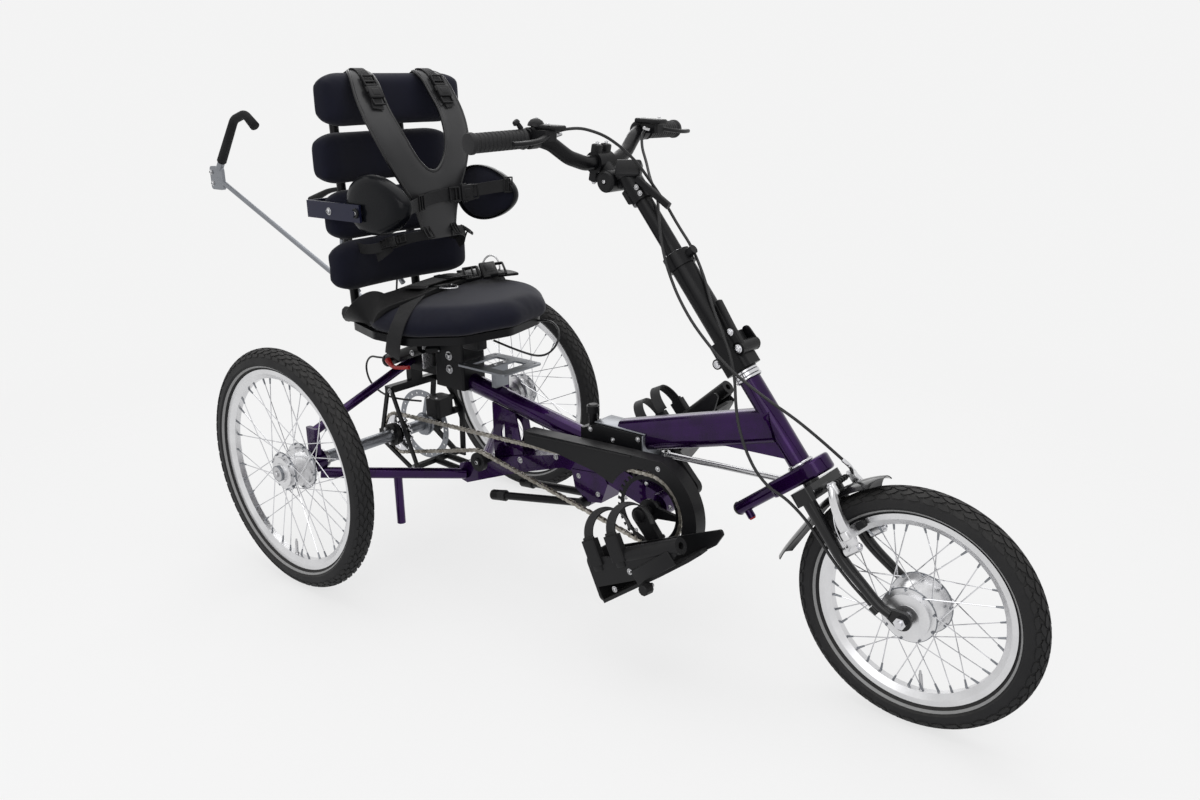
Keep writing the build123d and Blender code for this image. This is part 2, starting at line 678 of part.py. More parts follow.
def make_sandal(name, side, centre, pitch):
    """Foot plate with a heel wall, an inner side wall, an outer moulded tube and the pedal spindle."""
    u_dir = Vector(math.cos(math.radians(pitch)), 0, math.sin(math.radians(pitch)))
    w_dir = Vector(-math.sin(math.radians(pitch)), 0, math.cos(math.radians(pitch)))

    def foot(u, w, y):
        return centre + u_dir * u + w_dir * w + Vector(0, side * y, 0)

    def upright(y):
        """Side-view plane of the sandal: local x towards the toes, local y up from the sole."""
        return Plane(foot(0, 0, y), x_dir=u_dir, z_dir=u_dir.cross(w_dir))

    with BuildPart() as sandal:
        rise = math.radians(SOLE_RISE)
        sole_dir = u_dir * math.cos(rise) + w_dir * math.sin(rise)
        sole_up = w_dir * math.cos(rise) - u_dir * math.sin(rise)
        sole_plane = Plane(foot(HEEL_U, SOLE_W - SOLE_T, SANDAL_Y), x_dir=sole_dir, z_dir=sole_up)
        with BuildSketch(sole_plane) as sole:
            with BuildLine():
                Polyline(
                    (0, -SANDAL_W / 2),
                    (SOLE_L - 60, -SANDAL_W / 2),
                    (SOLE_L - 8, -SANDAL_W * 0.3),
                    (SOLE_L, 0),
                    (SOLE_L - 8, SANDAL_W * 0.3),
                    (SOLE_L - 60, SANDAL_W / 2),
                    (0, SANDAL_W / 2),
                    close=True,
                )
            make_face()
            fillet(sole.vertices().group_by(Axis.X)[-1], 14)
        extrude(sole.sketch, amount=SOLE_T)
        heel_plane = Plane(foot(HEEL_U, SOLE_W - SOLE_T, SANDAL_Y), x_dir=(0, 1, 0), z_dir=u_dir)
        with BuildSketch(heel_plane) as heel:
            with Locations((0, HEEL_H / 2)):
                RectangleRounded(SANDAL_W, HEEL_H, 14)
        extrude(heel.sketch, amount=-SOLE_T)
        with BuildSketch(upright(SANDAL_IN)) as inner_wall:
            with BuildLine():
                Polyline(
                    (HEEL_U - 2, SOLE_W - SOLE_T),
                    (TOE_U, TOE_W),
                    (TOE_U + 22, 24),
                    (TOE_U + 22, 34),
                    (HEEL_U - 2, SOLE_W + HEEL_H - SOLE_T - 14),
                    close=True,
                )
            make_face()
            fillet(inner_wall.vertices().group_by(Axis.X)[-1], 4.5)
        extrude(inner_wall.sketch, amount=-side * 5)
        with BuildSketch(upright(SANDAL_OUT - 5)) as outer_wall:
            with BuildLine():
                Polyline(
                    (HEEL_U - 2, -4),
                    (20, -2),
                    (84, 8),
                    (118, 28),
                    (118, 39),
                    (4, 39),
                    (HEEL_U - 2, 52),
                    close=True,
                )
            make_face()
        extrude(outer_wall.sketch, amount=-side * 5)
        bar(foot(3, 39, SANDAL_OUT - 12), foot(124, 39, SANDAL_OUT - 12), 14)
        bar(foot(60, 39, SANDAL_OUT - 12), foot(126, 39, SANDAL_OUT - 12), 6, mode=Mode.SUBTRACT)
        bar(foot(0, 0, PEDAL_IN + FIT), foot(0, 0, SANDAL_IN + 9), SPINDLE_R - 2)
        bar(foot(0, 0, SANDAL_IN + 4), foot(0, 0, SANDAL_IN + 9), 17)
        for u in STRAP_U:
            buckle_plane = Plane(foot(u, BUCKLE_FOOT, SANDAL_OUT - 3), x_dir=u_dir, z_dir=w_dir)
            with BuildSketch(buckle_plane) as buckle:
                RectangleRounded(30, 15, 3)
            extrude(buckle.sketch, amount=BUCKLE_TOP - BUCKLE_FOOT)
    save(sandal.part, name)

    with BuildPart() as straps:
        for u in STRAP_U:
            with BuildLine() as loop:
                ThreePointArc(
                    foot(u, BUCKLE_TOP + 3 * FIT, SANDAL_OUT - 3),
                    foot(u + 12, 118, SANDAL_Y),
                    foot(u + 22, 68, SANDAL_IN + 10),
                )
            with BuildSketch(Plane(loop.line @ 0, x_dir=u_dir, z_dir=loop.line % 0)) as strap:
                Rectangle(20, 2.4)
            sweep(strap.sketch, path=loop.line)
    save(straps.part, name.replace("sandal", "sandal_straps"))


LEFT_PITCH = SANDAL_PITCH + 16
make_sandal("sandal_right", -1, CRANK + CRANK_DIR * CRANK_L, SANDAL_PITCH)
make_sandal("sandal_left", 1, CRANK - CRANK_DIR * CRANK_L, LEFT_PITCH)

# ---------------------------------------------------------------- rear frame
RAIL_R = 19.0
RAIL_REAR = at(95, 0, 406)
RAIL_FRONT = at(507, 0, 331.5)
RAIL_SLOPE = (RAIL_FRONT.Z - RAIL_REAR.Z) / (RAIL_FRONT.X - RAIL_REAR.X)
with BuildPart() as upper_rail:
    bar(RAIL_REAR, RAIL_FRONT, RAIL_R)
save(upper_rail.part, "upper_rail")


def rail_z(x):
    """Height of the upper rail's centre line at a distance ahead of the rear axle."""
    return RAIL_REAR.Z + RAIL_SLOPE * (REAR_X + x - RAIL_REAR.X)


LOWER_W = 48.0
STAND_PIVOT = at(506, 0, 207)
STAND_PIN_R = 6.0
STAND_LUG_HALF = 12.0
STRUT_DROP = 13.4  # the strut's edges stop where they meet the rail's round
SHELL_R = 22.0
SHELL_HALF = 34.0
with BuildPart() as lower_beam:
    with BuildSketch(side_plane()) as outline:
        with BuildLine():
            Polyline(
                (150, 172),
                (180, 166),
                (335, 227),
                (458, 268),
                (562, 264),
                (CRANK_X - 14, CRANK_Z - 21),
                (CRANK_X - 8, CRANK_Z + 21),
                (585, 306),
                (512, 309),
                (330, 262),
                (160, 206),
                close=True,
            )
        make_face()
    extrude(outline.sketch, amount=LOWER_W / 2, both=True)
    bar(across(CRANK, -SHELL_HALF), across(CRANK, SHELL_HALF), SHELL_R)
    with BuildSketch(side_plane()) as strut_outline:
        with BuildLine():
            Polyline(
                (262, 232),
                (345, 262),
                (326, rail_z(326) - STRUT_DROP),
                (262, rail_z(262) - STRUT_DROP),
                close=True,
            )
        make_face()
        with Locations((300, 300)):
            Ellipse(16, 26, mode=Mode.SUBTRACT)
    extrude(strut_outline.sketch, amount=18, both=True)
    with BuildSketch(side_plane()) as strut_hollow:
        with Locations((300, 330)):
            Rectangle(120, 130)
    extrude(strut_hollow.sketch, amount=14, both=True, mode=Mode.SUBTRACT)
    with BuildSketch(side_plane()) as pod:
        with BuildLine():
            Polyline((482, 272), (490, 236), (522, 214), (556, 220), (572, 262), (560, 280), close=True)
        make_face()
    extrude(pod.sketch, amount=26, both=True)
    with BuildSketch(side_plane()) as stand_lug:
        with Locations((STAND_PIVOT.X - REAR_X, STAND_PIVOT.Z)):
            Circle(STAND_PIN_R + 6)
        with Locations((516, 246)):
            Circle(16)
        make_hull()
    extrude(stand_lug.sketch, amount=STAND_LUG_HALF, both=True)
    bar(across(STAND_PIVOT, -30), across(STAND_PIVOT, 30), STAND_PIN_R + FIT, mode=Mode.SUBTRACT)
    bar(across(CRANK, -SHELL_HALF - 1), across(CRANK, SHELL_HALF + 1), SPINDLE_R + FIT, mode=Mode.SUBTRACT)
save(lower_beam.part, "lower_beam")

CHEEK_T = 7.0
ROD_PIVOT = at(664, 33, 327)
CHEEK_Y = BEAM_W / 2 + FIT
with BuildPart() as clamp_box:
    with BuildSketch(side_plane()) as cheek:
        with BuildLine():
            Polyline((518, 320), (654, 320), (654, 378), (548, 378), (518, 366), close=True)
        make_face()
        fillet(cheek.vertices(), 4)
    extrude(cheek.sketch, amount=CHEEK_Y + CHEEK_T, both=True)
    with BuildSketch(side_plane()) as channel:
        with Locations((600, 345)):
            Rectangle(150, 90)
    extrude(channel.sketch, amount=CHEEK_Y, both=True, mode=Mode.SUBTRACT)
    block(at(511, -CHEEK_Y - CHEEK_T, 312), at(522, CHEEK_Y + CHEEK_T, 366))
    bar(at(517, 0, 366), at(517, 0, 388), 8)
    bar(at(517, 0, 388), at(517, 0, 402), 12)
    block(at(640, CHEEK_Y, ROD_PIVOT.Z - 15), at(676, 43, ROD_PIVOT.Z - 6 - FIT), fillet_r=3)
    bar(ROD_PIVOT - Vector(0, 0, 8), ROD_PIVOT + Vector(0, 0, 8), 3)
save(clamp_box.part, "clamp_box")

SUPPORT_W = 64.0
SUPPORT_TOP = 505.0
PUSH_ROD_R = 6.0
ROD_TOP = at(-718, 0, 764)
ROD_FOOT = at(96, 0, 410.5)
ROD_DIR = (ROD_FOOT - ROD_TOP).normalized()
with BuildPart() as seat_support:
    block(at(108, -SUPPORT_W / 2, 376), at(195, SUPPORT_W / 2, SUPPORT_TOP), fillet_r=5)
    block(at(10, -21, 392), at(110, 21, 446), fillet_r=5)
    block(at(60, -150, SUPPORT_TOP - 13), at(96, 150, SUPPORT_TOP))
    block(at(60, -21, 440), at(112, 21, SUPPORT_TOP))
    bar(at(-9, -60, 416), at(104, -60, 462), 13)
    bar(at(88, -60, 455), at(120, -30, 455), 9)
    bar(RAIL_REAR - Vector(0.3, 0, 0), RAIL_FRONT, RAIL_R + FIT, mode=Mode.SUBTRACT)
    bar(ROD_FOOT - ROD_DIR * 140, ROD_FOOT - ROD_DIR * 20, PUSH_ROD_R + FIT, mode=Mode.SUBTRACT)
save(seat_support.part, "seat_support")

CARRIER_Y = HALF_TRACK - HUB_IN - 5
HOUSING_L = 24.0
HOUSING_R = 24.0
STAY_R = 9.5
DIAGONAL_R = 11.5
with BuildPart() as rear_stays:
    for side in (-1, 1):
        y = side * CARRIER_Y
        inner_y = side * (CARRIER_Y - HOUSING_L)
        mid_y = side * (CARRIER_Y - HOUSING_L / 2)
        bar(on_axle(y), on_axle(inner_y), HOUSING_R)
        block(at(-17, mid_y - side * 6, 250), at(17, mid_y + side * 6, 322), fillet_r=4)
        bar(at(0, mid_y, 312), at(22, side * 22, 414), STAY_R)
        diagonal_top = at(12, mid_y, 227)
        diagonal_foot = at(176, side * 24.4, 186)
        bar(diagonal_top, diagonal_foot, DIAGONAL_R)
        if side < 0:
            post_top = diagonal_top + (diagonal_foot - diagonal_top) * 0.52
            bar(post_top, Vector(post_top.X, post_top.Y, 92), 9, bore=6.5)
            bar(on_axle(y + side), on_axle(inner_y - side), AXLE_R + FIT, mode=Mode.SUBTRACT)
        else:
            bar(on_axle(y), on_axle(HUB_FACE + AXLE_CAP_T), AXLE_R)
            bar(on_axle(HUB_FACE + FIT), on_axle(HUB_FACE + AXLE_CAP_T), CAP_R)
    block(at(-6, -21 - FIT, 380), at(60, 21 + FIT, 450), mode=Mode.SUBTRACT)
    block(at(140, -LOWER_W / 2 - FIT, 150), at(220, LOWER_W / 2 + FIT, 220), mode=Mode.SUBTRACT)
save(rear_stays.part, "rear_stays")

PLATE_Y = -78.0
FRAME_Y = 56.0
FLAT_T = 5.0


def flat_frame(y, corners, width):
    """A flat-bar frame: its outline with the inside cut away, width wide."""
    with BuildSketch(Plane(at(0, y, 0), x_dir=(1, 0, 0), z_dir=(0, -1, 0))) as frame_outline:
        with BuildLine():
            Polyline(*corners, close=True)
        make_face()
        offset(amount=-width, mode=Mode.SUBTRACT, kind=Kind.INTERSECTION)
    extrude(frame_outline.sketch, amount=FLAT_T)


with BuildPart() as drive_frame:
    flat_frame(PLATE_Y + FLAT_T, [(-4, 362), (12, 362), (82, 200), (76, 182), (58, 182), (-42, 232)], 9)
    bar(on_axle(PLATE_Y), on_axle(PLATE_Y + FLAT_T + 6), 25)
    block(at(-40, PLATE_Y, 243), at(0, PLATE_Y + FLAT_T, 257))
    flat_frame(FRAME_Y, [(-4, 362), (40, 362), (96, 300), (92, 184), (56, 184), (-24, 232)], 13)
    bar(on_axle(FRAME_Y - 11), on_axle(FRAME_Y), 25)
    block(at(-30, FRAME_Y - FLAT_T, 243), at(0, FRAME_Y, 257))
    block(at(-8, PLATE_Y, 346), at(8, 85, 362))
    block(at(-8, -16, 355), at(8, 16, 391.7))
    block(at(66, PLATE_Y, 186), at(78, FRAME_Y, 196))
    for y in (-17, 17):
        bar(at(72, y, 191), at(150 - FIT, y, 188), 7)
    bar(on_axle(PLATE_Y - 1), on_axle(60), AXLE_R + FIT, mode=Mode.SUBTRACT)
save(drive_frame.part, "drive_frame")

CALIPER = at(56, DISC_Y, 304)
with BuildPart() as disc_caliper:
    block(CALIPER - Vector(22, 24, 20), CALIPER + Vector(22, 24, 22), fillet_r=8)
    bar(CALIPER + Vector(-6, 22, 4), CALIPER + Vector(-6, 28, 4), 13)
    bar(CALIPER + Vector(9, 20, 16), CALIPER + Vector(9, FRAME_Y - DISC_Y - FLAT_T - FIT, 16), 7)
    bar(CALIPER + Vector(21, 20, -12), CALIPER + Vector(21, FRAME_Y - DISC_Y - FLAT_T - FIT, -12), 8)
    with BuildSketch(wheel_plane(REAR_AXLE, DISC_Y)) as slot:
        Circle(DISC_R + 4)
    extrude(slot.sketch, amount=DISC_T / 2 + 1.2, both=True, mode=Mode.SUBTRACT)
save(disc_caliper.part, "disc_caliper")

# ---------------------------------------------------------------- chain, idler and chain guard
IDLER = (255.0, 242.0)
IDLER_R = 20.0


def tangent(c1, r1, c2, r2):
    """Ends of the line that leaves circle 1 and meets circle 2, both on its right hand side;
    a negative radius puts that circle on the left hand side."""
    dx, dz = c2[0] - c1[0], c2[1] - c1[1]
    reach = math.hypot(dx, dz)
    heading = math.atan2(dz, dx) + math.asin((r1 - r2) / reach) * -1
    nx, nz = -math.sin(heading), math.cos(heading)
    return (c1[0] + nx * r1, c1[1] + nz * r1), (c2[0] + nx * r2, c2[1] + nz * r2)


def chain_face(grow):
    """The area inside the chain's pitch line, grown outwards: sprocket, chainring, then over the idler."""
    pulleys = [
        ((0.0, REAR_AXLE_Z), SPROCKET_PR + grow),
        ((CRANK_X, CRANK_Z), CHAINRING_PR + grow),
        (IDLER, -(IDLER_R + 4.6 - grow)),
    ]
    runs = [tangent(*pulleys[i], *pulleys[(i + 1) % 3]) for i in range(3)]
    with BuildSketch(side_plane(CHAIN_Y)) as area:
        with BuildLine():
            for i, (start, end) in enumerate(runs):
                Line(start, end)
                following = runs[(i + 1) % 3][0]
                (cx, cz), radius = pulleys[(i + 1) % 3]
                sense = -1 if radius > 0 else 1
                a = math.atan2(end[1] - cz, end[0] - cx)
                b = math.atan2(following[1] - cz, following[0] - cx)
                turn = (sense * (b - a)) % (2 * math.pi)
                half = a + sense * turn / 2
                middle = (cx + abs(radius) * math.cos(half), cz + abs(radius) * math.sin(half))
                ThreePointArc(end, middle, following)
        make_face()
    return area.sketch


LINK_H = 4.1
PLATE_IN = 2.0
PLATE_OUT = 3.1
with BuildPart() as chain:
    extrude(chain_face(LINK_H), amount=PLATE_OUT, both=True)
    extrude(chain_face(-LINK_H), amount=PLATE_OUT + 1, both=True, mode=Mode.SUBTRACT)
    extrude(chain_face(LINK_H - 0.8), amount=PLATE_IN, both=True, mode=Mode.SUBTRACT)
save(chain.part, "chain")

with BuildPart() as idler:
    idler_at = at(IDLER[0], CHAIN_Y, IDLER[1])
    bar(idler_at + Vector(0, -5, 0), idler_at + Vector(0, 5, 0), IDLER_R)
    bar(idler_at + Vector(0, -9, 0), at(IDLER[0], -LOWER_W / 2 - FIT, IDLER[1]), 9)
save(idler.part, "idler")

GUARD_IN = CHAIN_Y + 13
GUARD_OUT = CHAIN_Y - 16
WALL = 2.5
NOSE_R = 111.0
with BuildPart() as chain_guard:
    with BuildSketch(side_plane(GUARD_IN)) as cover:
        with BuildLine():
            Polyline(
                (402, 346),
                (660, 357),
                (CRANK_X + 37, CRANK_Z + 104.6),
                (CRANK_X, CRANK_Z),
                (648, 287),
                (612, 293),
                (579, 305),
                (486, 319),
                (402, 321),
                close=True,
            )
        make_face()
        with BuildLine():
            nose = CenterArc((CRANK_X, CRANK_Z), NOSE_R, -20, 92)
            Line(nose @ 1, (CRANK_X, CRANK_Z))
            Line((CRANK_X, CRANK_Z), nose @ 0)
        make_face()
    extrude(cover.sketch, amount=GUARD_IN - GUARD_OUT)
    with BuildSketch(side_plane(GUARD_IN + 1)) as hollow:
        add(offset(cover.sketch_local, amount=-WALL))
        with BuildLine():
            Polyline(
                (402 + WALL, 300),
                (402 + WALL, 332),
                (590, 322),
                (CRANK_X - 20, CRANK_Z + 20),
                (CRANK_X + 60, CRANK_Z - 50),
                (CRANK_X - 60, 240),
                (575, 280),
                close=True,
            )
        make_face()
    extrude(hollow.sketch, amount=GUARD_IN + 1 - GUARD_OUT - WALL, mode=Mode.SUBTRACT)
    with BuildSketch(side_plane(GUARD_IN + 1)) as window:
        with Locations((CRANK_X, CRANK_Z)):
            Circle(CHAINRING_PR + 13)
    extrude(window.sketch, amount=60, mode=Mode.SUBTRACT)
    bar(at(600, -CHEEK_Y - CHEEK_T - FIT, 340), at(600, GUARD_OUT + 1, 340), 7)
save(chain_guard.part, "chain_guard")

# ---------------------------------------------------------------- seat, backrest and push handle
def mirrored(half):
    """A whole outline from its right half, whose last point is on the middle line."""
    return [*half, *((x, -y) for x, y in reversed(half[:-1]))]


PAN_TOP = 521.0
PAN_OUTLINE = ((-12, -150), (108, -184), (205, -182), (282, -112), (308, 0))
with BuildPart() as seat_pan:
    with BuildSketch(Plane(at(0, 0, SUPPORT_TOP + FIT))) as pan_outline:
        with BuildLine():
            Polyline(*mirrored(PAN_OUTLINE), close=True)
        make_face()
        fillet(pan_outline.vertices(), 42)
    extrude(pan_outline.sketch, amount=PAN_TOP - SUPPORT_TOP - FIT)
save(seat_pan.part, "seat_pan")

CUSHION_T = 52.0
CUSHION_OUTLINE = ((-8, -150), (112, -194), (214, -192), (296, -118), (326, 0))
with BuildPart() as seat_cushion:
    with BuildSketch(Plane(at(0, 0, PAN_TOP + FIT))) as cushion_outline:
        with BuildLine():
            Polyline(*mirrored(CUSHION_OUTLINE), close=True)
        make_face()
        fillet(cushion_outline.vertices(), 52)
    extrude(cushion_outline.sketch, amount=CUSHION_T)
    fillet(seat_cushion.edges().group_by(Axis.Z)[-1], 22)
save(seat_cushion.part, "seat_cushion")

BELT_Z = PAN_TOP + FIT + CUSHION_T + FIT
with BuildPart() as lap_belt:
    block(at(70, -170, BELT_Z), at(116, 170, BELT_Z + 3))
save(lap_belt.part, "lap_belt")

UPRIGHT_R = 9.5
UPRIGHT_Y = 85.0
LEAN = -0.055
UPRIGHT_TOP = 985.0
ROLL_H = 96.0
ROLL_T = 44.0
ROLLS = (  # height, x of the ends, x of the middle, half length
    (957, -2, -26, 176),
    (844, -38, -60, 168),
    (730, -44, -54, 156),
    (632, -7, -28, 176),
)


def upright_x(z):
    return -74 + LEAN * (z - 520)


def roll_back(end_x, mid_x, half_l, y):
    """How far ahead of the rear axle a bowed roll's back lies, at a distance from the middle plane."""
    bow_r = (half_l**2 + (end_x - mid_x) ** 2) / (2 * (end_x - mid_x)) + ROLL_T / 2
    return mid_x - ROLL_T / 2 + bow_r - math.sqrt(bow_r**2 - y**2)


STANDOFF_R = 6.0
with BuildPart() as back_uprights:
    for side in (-1, 1):
        y = side * UPRIGHT_Y
        bar(at(upright_x(505), y, 505), at(upright_x(UPRIGHT_TOP), y, UPRIGHT_TOP), UPRIGHT_R)
        block(at(upright_x(505), y - 5, PAN_TOP - 11), at(-12 - FIT, y + 5, PAN_TOP - 1))
        for z, end_x, mid_x, half_l in ROLLS:
            back_x = roll_back(end_x, mid_x, half_l, UPRIGHT_Y - STANDOFF_R)
            bar(at(upright_x(z), y, z), at(back_x - FIT, y, z), STANDOFF_R)
    block(at(upright_x(505) - 8, -UPRIGHT_Y, 499), at(upright_x(505) + 8, UPRIGHT_Y, 511))
save(back_uprights.part, "back_uprights")

with BuildPart() as back_rolls:
    for z, end_x, mid_x, half_l in ROLLS:
        with BuildLine() as bow:
            ThreePointArc(at(end_x, -half_l, z), at(mid_x, 0, z), at(end_x, half_l, z))
        with BuildSketch(Plane(bow.line @ 0, x_dir=(0, 0, 1), z_dir=bow.line % 0)) as roll_section:
            RectangleRounded(ROLL_H, ROLL_T, 18)
        sweep(roll_section.sketch, path=bow.line)
save(back_rolls.part, "back_rolls")

PAD_X = 106.0
PAD_Z = 762.0
PAD_IN = 132.0
PAD_T = 30.0
BRACKET_Z = 747.0
with BuildPart() as lateral_pads:
    for side in (-1, 1):
        pad_plane = Plane(at(PAD_X, side * PAD_IN, PAD_Z), x_dir=(1, 0, 0), z_dir=(0, side, 0))
        with BuildSketch(pad_plane) as pad_outline:
            Ellipse(90, 57)
        extrude(pad_outline.sketch, amount=PAD_T)
save(lateral_pads.part, "lateral_pads")

BRACKET_IN = PAD_IN + PAD_T + 5
BRACKET_X = upright_x(BRACKET_Z)
with BuildPart() as pad_brackets:
    for side in (-1, 1):
        block(
            at(BRACKET_X - 3, side * BRACKET_IN, BRACKET_Z - 17),
            at(80, side * (BRACKET_IN + 5), BRACKET_Z + 17),
        )
        block(
            at(BRACKET_X - 3, side * (BRACKET_IN + 2), BRACKET_Z - 17),
            at(BRACKET_X + 3, side * (UPRIGHT_Y + UPRIGHT_R + FIT), BRACKET_Z + 17),
        )
        bar(
            at(64, side * (PAD_IN + PAD_T + FIT), BRACKET_Z),
            at(64, side * (BRACKET_IN + 11), BRACKET_Z),
            7,
        )
save(pad_brackets.part, "pad_brackets")

VEST_T = 8.0
STRAP_Z = ROLLS[0][0] + ROLL_H / 2 + FIT
STRAP_T = 3.0
VEST_LINE = (  # ahead of the rear axle and above the floor, down the rider's chest
    (-14, STRAP_Z + 4),
    (2, STRAP_Z + 2.5),
    (18, 997),
    (36, 967),
    (60, 938),
    (80, 905),
    (96, 868),
    (106, 817),
    (110, 770),
    (114, 684),
)
VEST_OUTER = (  # half width and height
    (98, 1012),
    (122, 996),
    (128, 968),
    (129, 941),
    (126, 912),
    (118, 881),
    (108, 851),
    (93, 817),
    (76, 788),
    (62, 764),
    (52, 730),
    (40, 684),
)
VEST_NECK = (
    (57, 1012),
    (60, 991),
    (63, 966),
    (65, 941),
    (61, 921),
    (57, 897),
    (50, 870),
    (39, 848),
    (25, 830),
    (0, 816),
)
with BuildPart() as harness:
    with BuildSketch(Plane.YZ.offset(REAR_X - 60)) as vest:
        with BuildLine():
            for side in (-1, 1):
                Polyline(*((side * y, z) for y, z in VEST_OUTER))
                Polyline(*((side * y, z) for y, z in VEST_NECK))
                Line((side * VEST_OUTER[0][0], 1012), (side * VEST_NECK[0][0], 1012))
            Line((-VEST_OUTER[-1][0], 684), (VEST_OUTER[-1][0], 684))
        make_face()
    extrude(vest.sketch, amount=200)
    with BuildSketch(side_plane(150)) as chest:
        with BuildLine() as chest_line:
            Spline(*VEST_LINE)
        trace(chest_line.line, VEST_T)
    extrude(chest.sketch, amount=300, mode=Mode.INTERSECT)
    for side in (-1, 1):
        block(at(-103, side * 70, STRAP_Z + VEST_T), at(0, side * 96, STRAP_Z + VEST_T + STRAP_T))
        block(at(-106, side * 78, UPRIGHT_TOP + FIT), at(-103, side * 96, STRAP_Z + VEST_T + STRAP_T))
save(harness.part, "harness")

PLATE_C = at(270, 0, 438)
RACK_L = 134.0
RACK_W = 112.0
RACK_T = 4.0
RACK_HOLE_R = 3.2
RACK_SPACING = (112.0, 90.0)
with BuildPart() as rack_plate:
    with BuildSketch(Plane(PLATE_C)) as rack:
        RectangleRounded(RACK_L, RACK_W, 8)
        with GridLocations(54, 0, 2, 1):
            RectangleRounded(34, 68, 4, mode=Mode.SUBTRACT)
        with GridLocations(*RACK_SPACING, 2, 2):
            Circle(RACK_HOLE_R, mode=Mode.SUBTRACT)
    extrude(rack.sketch, amount=RACK_T)
    block(at(264, -18, rail_z(264) + RAIL_R + FIT), at(276, 18, PLATE_C.Z + 1))
save(rack_plate.part, "rack_plate")

GRIP_START = at(-692, 0, 804)
with BuildPart() as push_rod:
    bar(ROD_TOP, ROD_FOOT - ROD_DIR * 22, PUSH_ROD_R)
    bar(at(-706, 0, 786), GRIP_START - Vector(0.3, 0, 0.3), 9)
    with BuildSketch(side_plane(0)) as end_plate:
        with Locations((-TAIL + 28, 764)):
            RectangleRounded(56, 58, 9)
        with Locations((-TAIL + 14, 778), (-TAIL + 14, 750)):
            Circle(4.5, mode=Mode.SUBTRACT)
    extrude(end_plate.sketch, amount=4, both=True)
save(push_rod.part, "push_rod")

FOAM_R = 15.0
with BuildPart() as push_grip:
    with BuildLine() as cane:
        FilletPolyline(GRIP_START, at(-610, 0, 908), at(-560, 0, 922), at(-520, 0, 892), radius=(34, 26))
    with BuildSketch(Plane(cane.line @ 0, z_dir=cane.line % 0)) as foam:
        Circle(FOAM_R)
    sweep(foam.sketch, path=cane.line)
save(push_grip.part, "push_grip")

# ---------------------------------------------------------------- steering rod and prop stand
EYE = steer(PLATE_TOP - PLATE_T / 2, -58, 31)
ROD_EYE_R = 8.0
with BuildPart() as steering_rod:
    bar(ROD_PIVOT, EYE, 5.5)
    bar(ROD_PIVOT - Vector(0, 0, 6), ROD_PIVOT + Vector(0, 0, 6), ROD_EYE_R)
    bar(ROD_PIVOT - Vector(0, 0, 8), ROD_PIVOT + Vector(0, 0, 9), 3 + FIT, mode=Mode.SUBTRACT)
save(steering_rod.part, "steering_rod")

STAND_FOOT = at(286, 0, 172)
STAND_SPREAD = 44.0
LEG_R = 8.0
with BuildPart() as prop_stand:
    bar(across(STAND_PIVOT, -34), across(STAND_PIVOT, 34), STAND_PIN_R)
    for side in (-1, 1):
        foot_at = across(STAND_FOOT, side * STAND_SPREAD)
        knee = across(STAND_PIVOT, side * 24)
        bar(across(STAND_PIVOT, side * (STAND_LUG_HALF + FIT)), across(STAND_PIVOT, side * 34), LEG_R + 3)
        bar(knee, foot_at, LEG_R)
        bar(foot_at + (knee - foot_at) * 0.09, foot_at - (knee - foot_at) * 0.02, LEG_R + 3)
save(prop_stand.part, "prop_stand")

# ---------------------------------------------------------------- brake cables
CABLE_R = 2.5
# points along the steering axis, ahead of it and towards the rider's left
FRONT_CABLE = (
    (655, -2, 131.6),
    (647, -5, 112),
    (622, -11, 98),
    (590, -10, 84),
    (556, -3, 58),
    (521, 10, 30),
    (497, 23, 5),
    (470, 22, -15),
    (432, 10, -28),
    (390, -1, -37),
    (337, -9, -43),
    (285, -9, -47),
    (233, 0, -51),
    (178, 14, -53),
    (119, 35, -46),
    (61, 58, -33),
    (12, 70, -20),
    (-28, 77, -8),
)
HUB_CABLE = (
    (655, -1, -131.2),
    (653, 14, -115),
    (640, 34, -97),
    (616, 46, -70),
    (590, 44, -40),
    (560, 38, -14),
    (527, 30, 3),
    (488, 26, 14),
    (443, 22, 18),
    (397, 25, 16),
    (345, 25, 3),
    (292, 23, -19),
    (245, 23, -32),
    (205, 17, -36),
    (166, 4, -43),
    (131, -11, -55),
    (95, -24, -63),
    (57, -32, -67),
    (21, -35, -68),
    (-12, -30, -66),
    (-38, -18, -59),
    (-75, -12, -51),
    (-115, -10, -48),
    (-158, -9, -47),
    (-203, -1, -48),
    (-245, 11, -49),
)


def bend_radii(points):
    """The largest fillet at each corner that its two runs leave room for."""
    radii = []
    for before, corner, after in zip(points, points[1:], points[2:]):
        turn = math.radians((corner - before).get_angle(after - corner))
        shorter = min((corner - before).length, (after - corner).length)
        radii.append(0.45 * shorter / math.tan(turn / 2))
    return radii


for name, route in (("front_brake_cable", FRONT_CABLE), ("hub_brake_cable", HUB_CABLE)):
    points = [steer(*place) for place in route]
    radii = bend_radii(points)
    print(name, "bend radii", [round(radius) for radius in radii])
    with BuildPart() as cable:
        with BuildLine() as run:
            FilletPolyline(*points, radius=radii)
        with BuildSketch(Plane(run.line @ 0, z_dir=run.line % 0)) as cable_section:
            Circle(CABLE_R)
        sweep(cable_section.sketch, path=run.line)
    section = math.pi * CABLE_R**2
    length = sum(edge.length for edge in run.edges())
    print(name, "volume over section times length", round(cable.part.volume / (section * length), 4))
    save(cable.part, name)
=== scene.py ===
"""Dresses a therapy tricycle's frame: paint, tyres, padding, harness, controls and small hardware."""

import math

import bmesh
import bpy
from bpy.props import FloatProperty, FloatVectorProperty, PointerProperty
from mathutils import Matrix, Vector


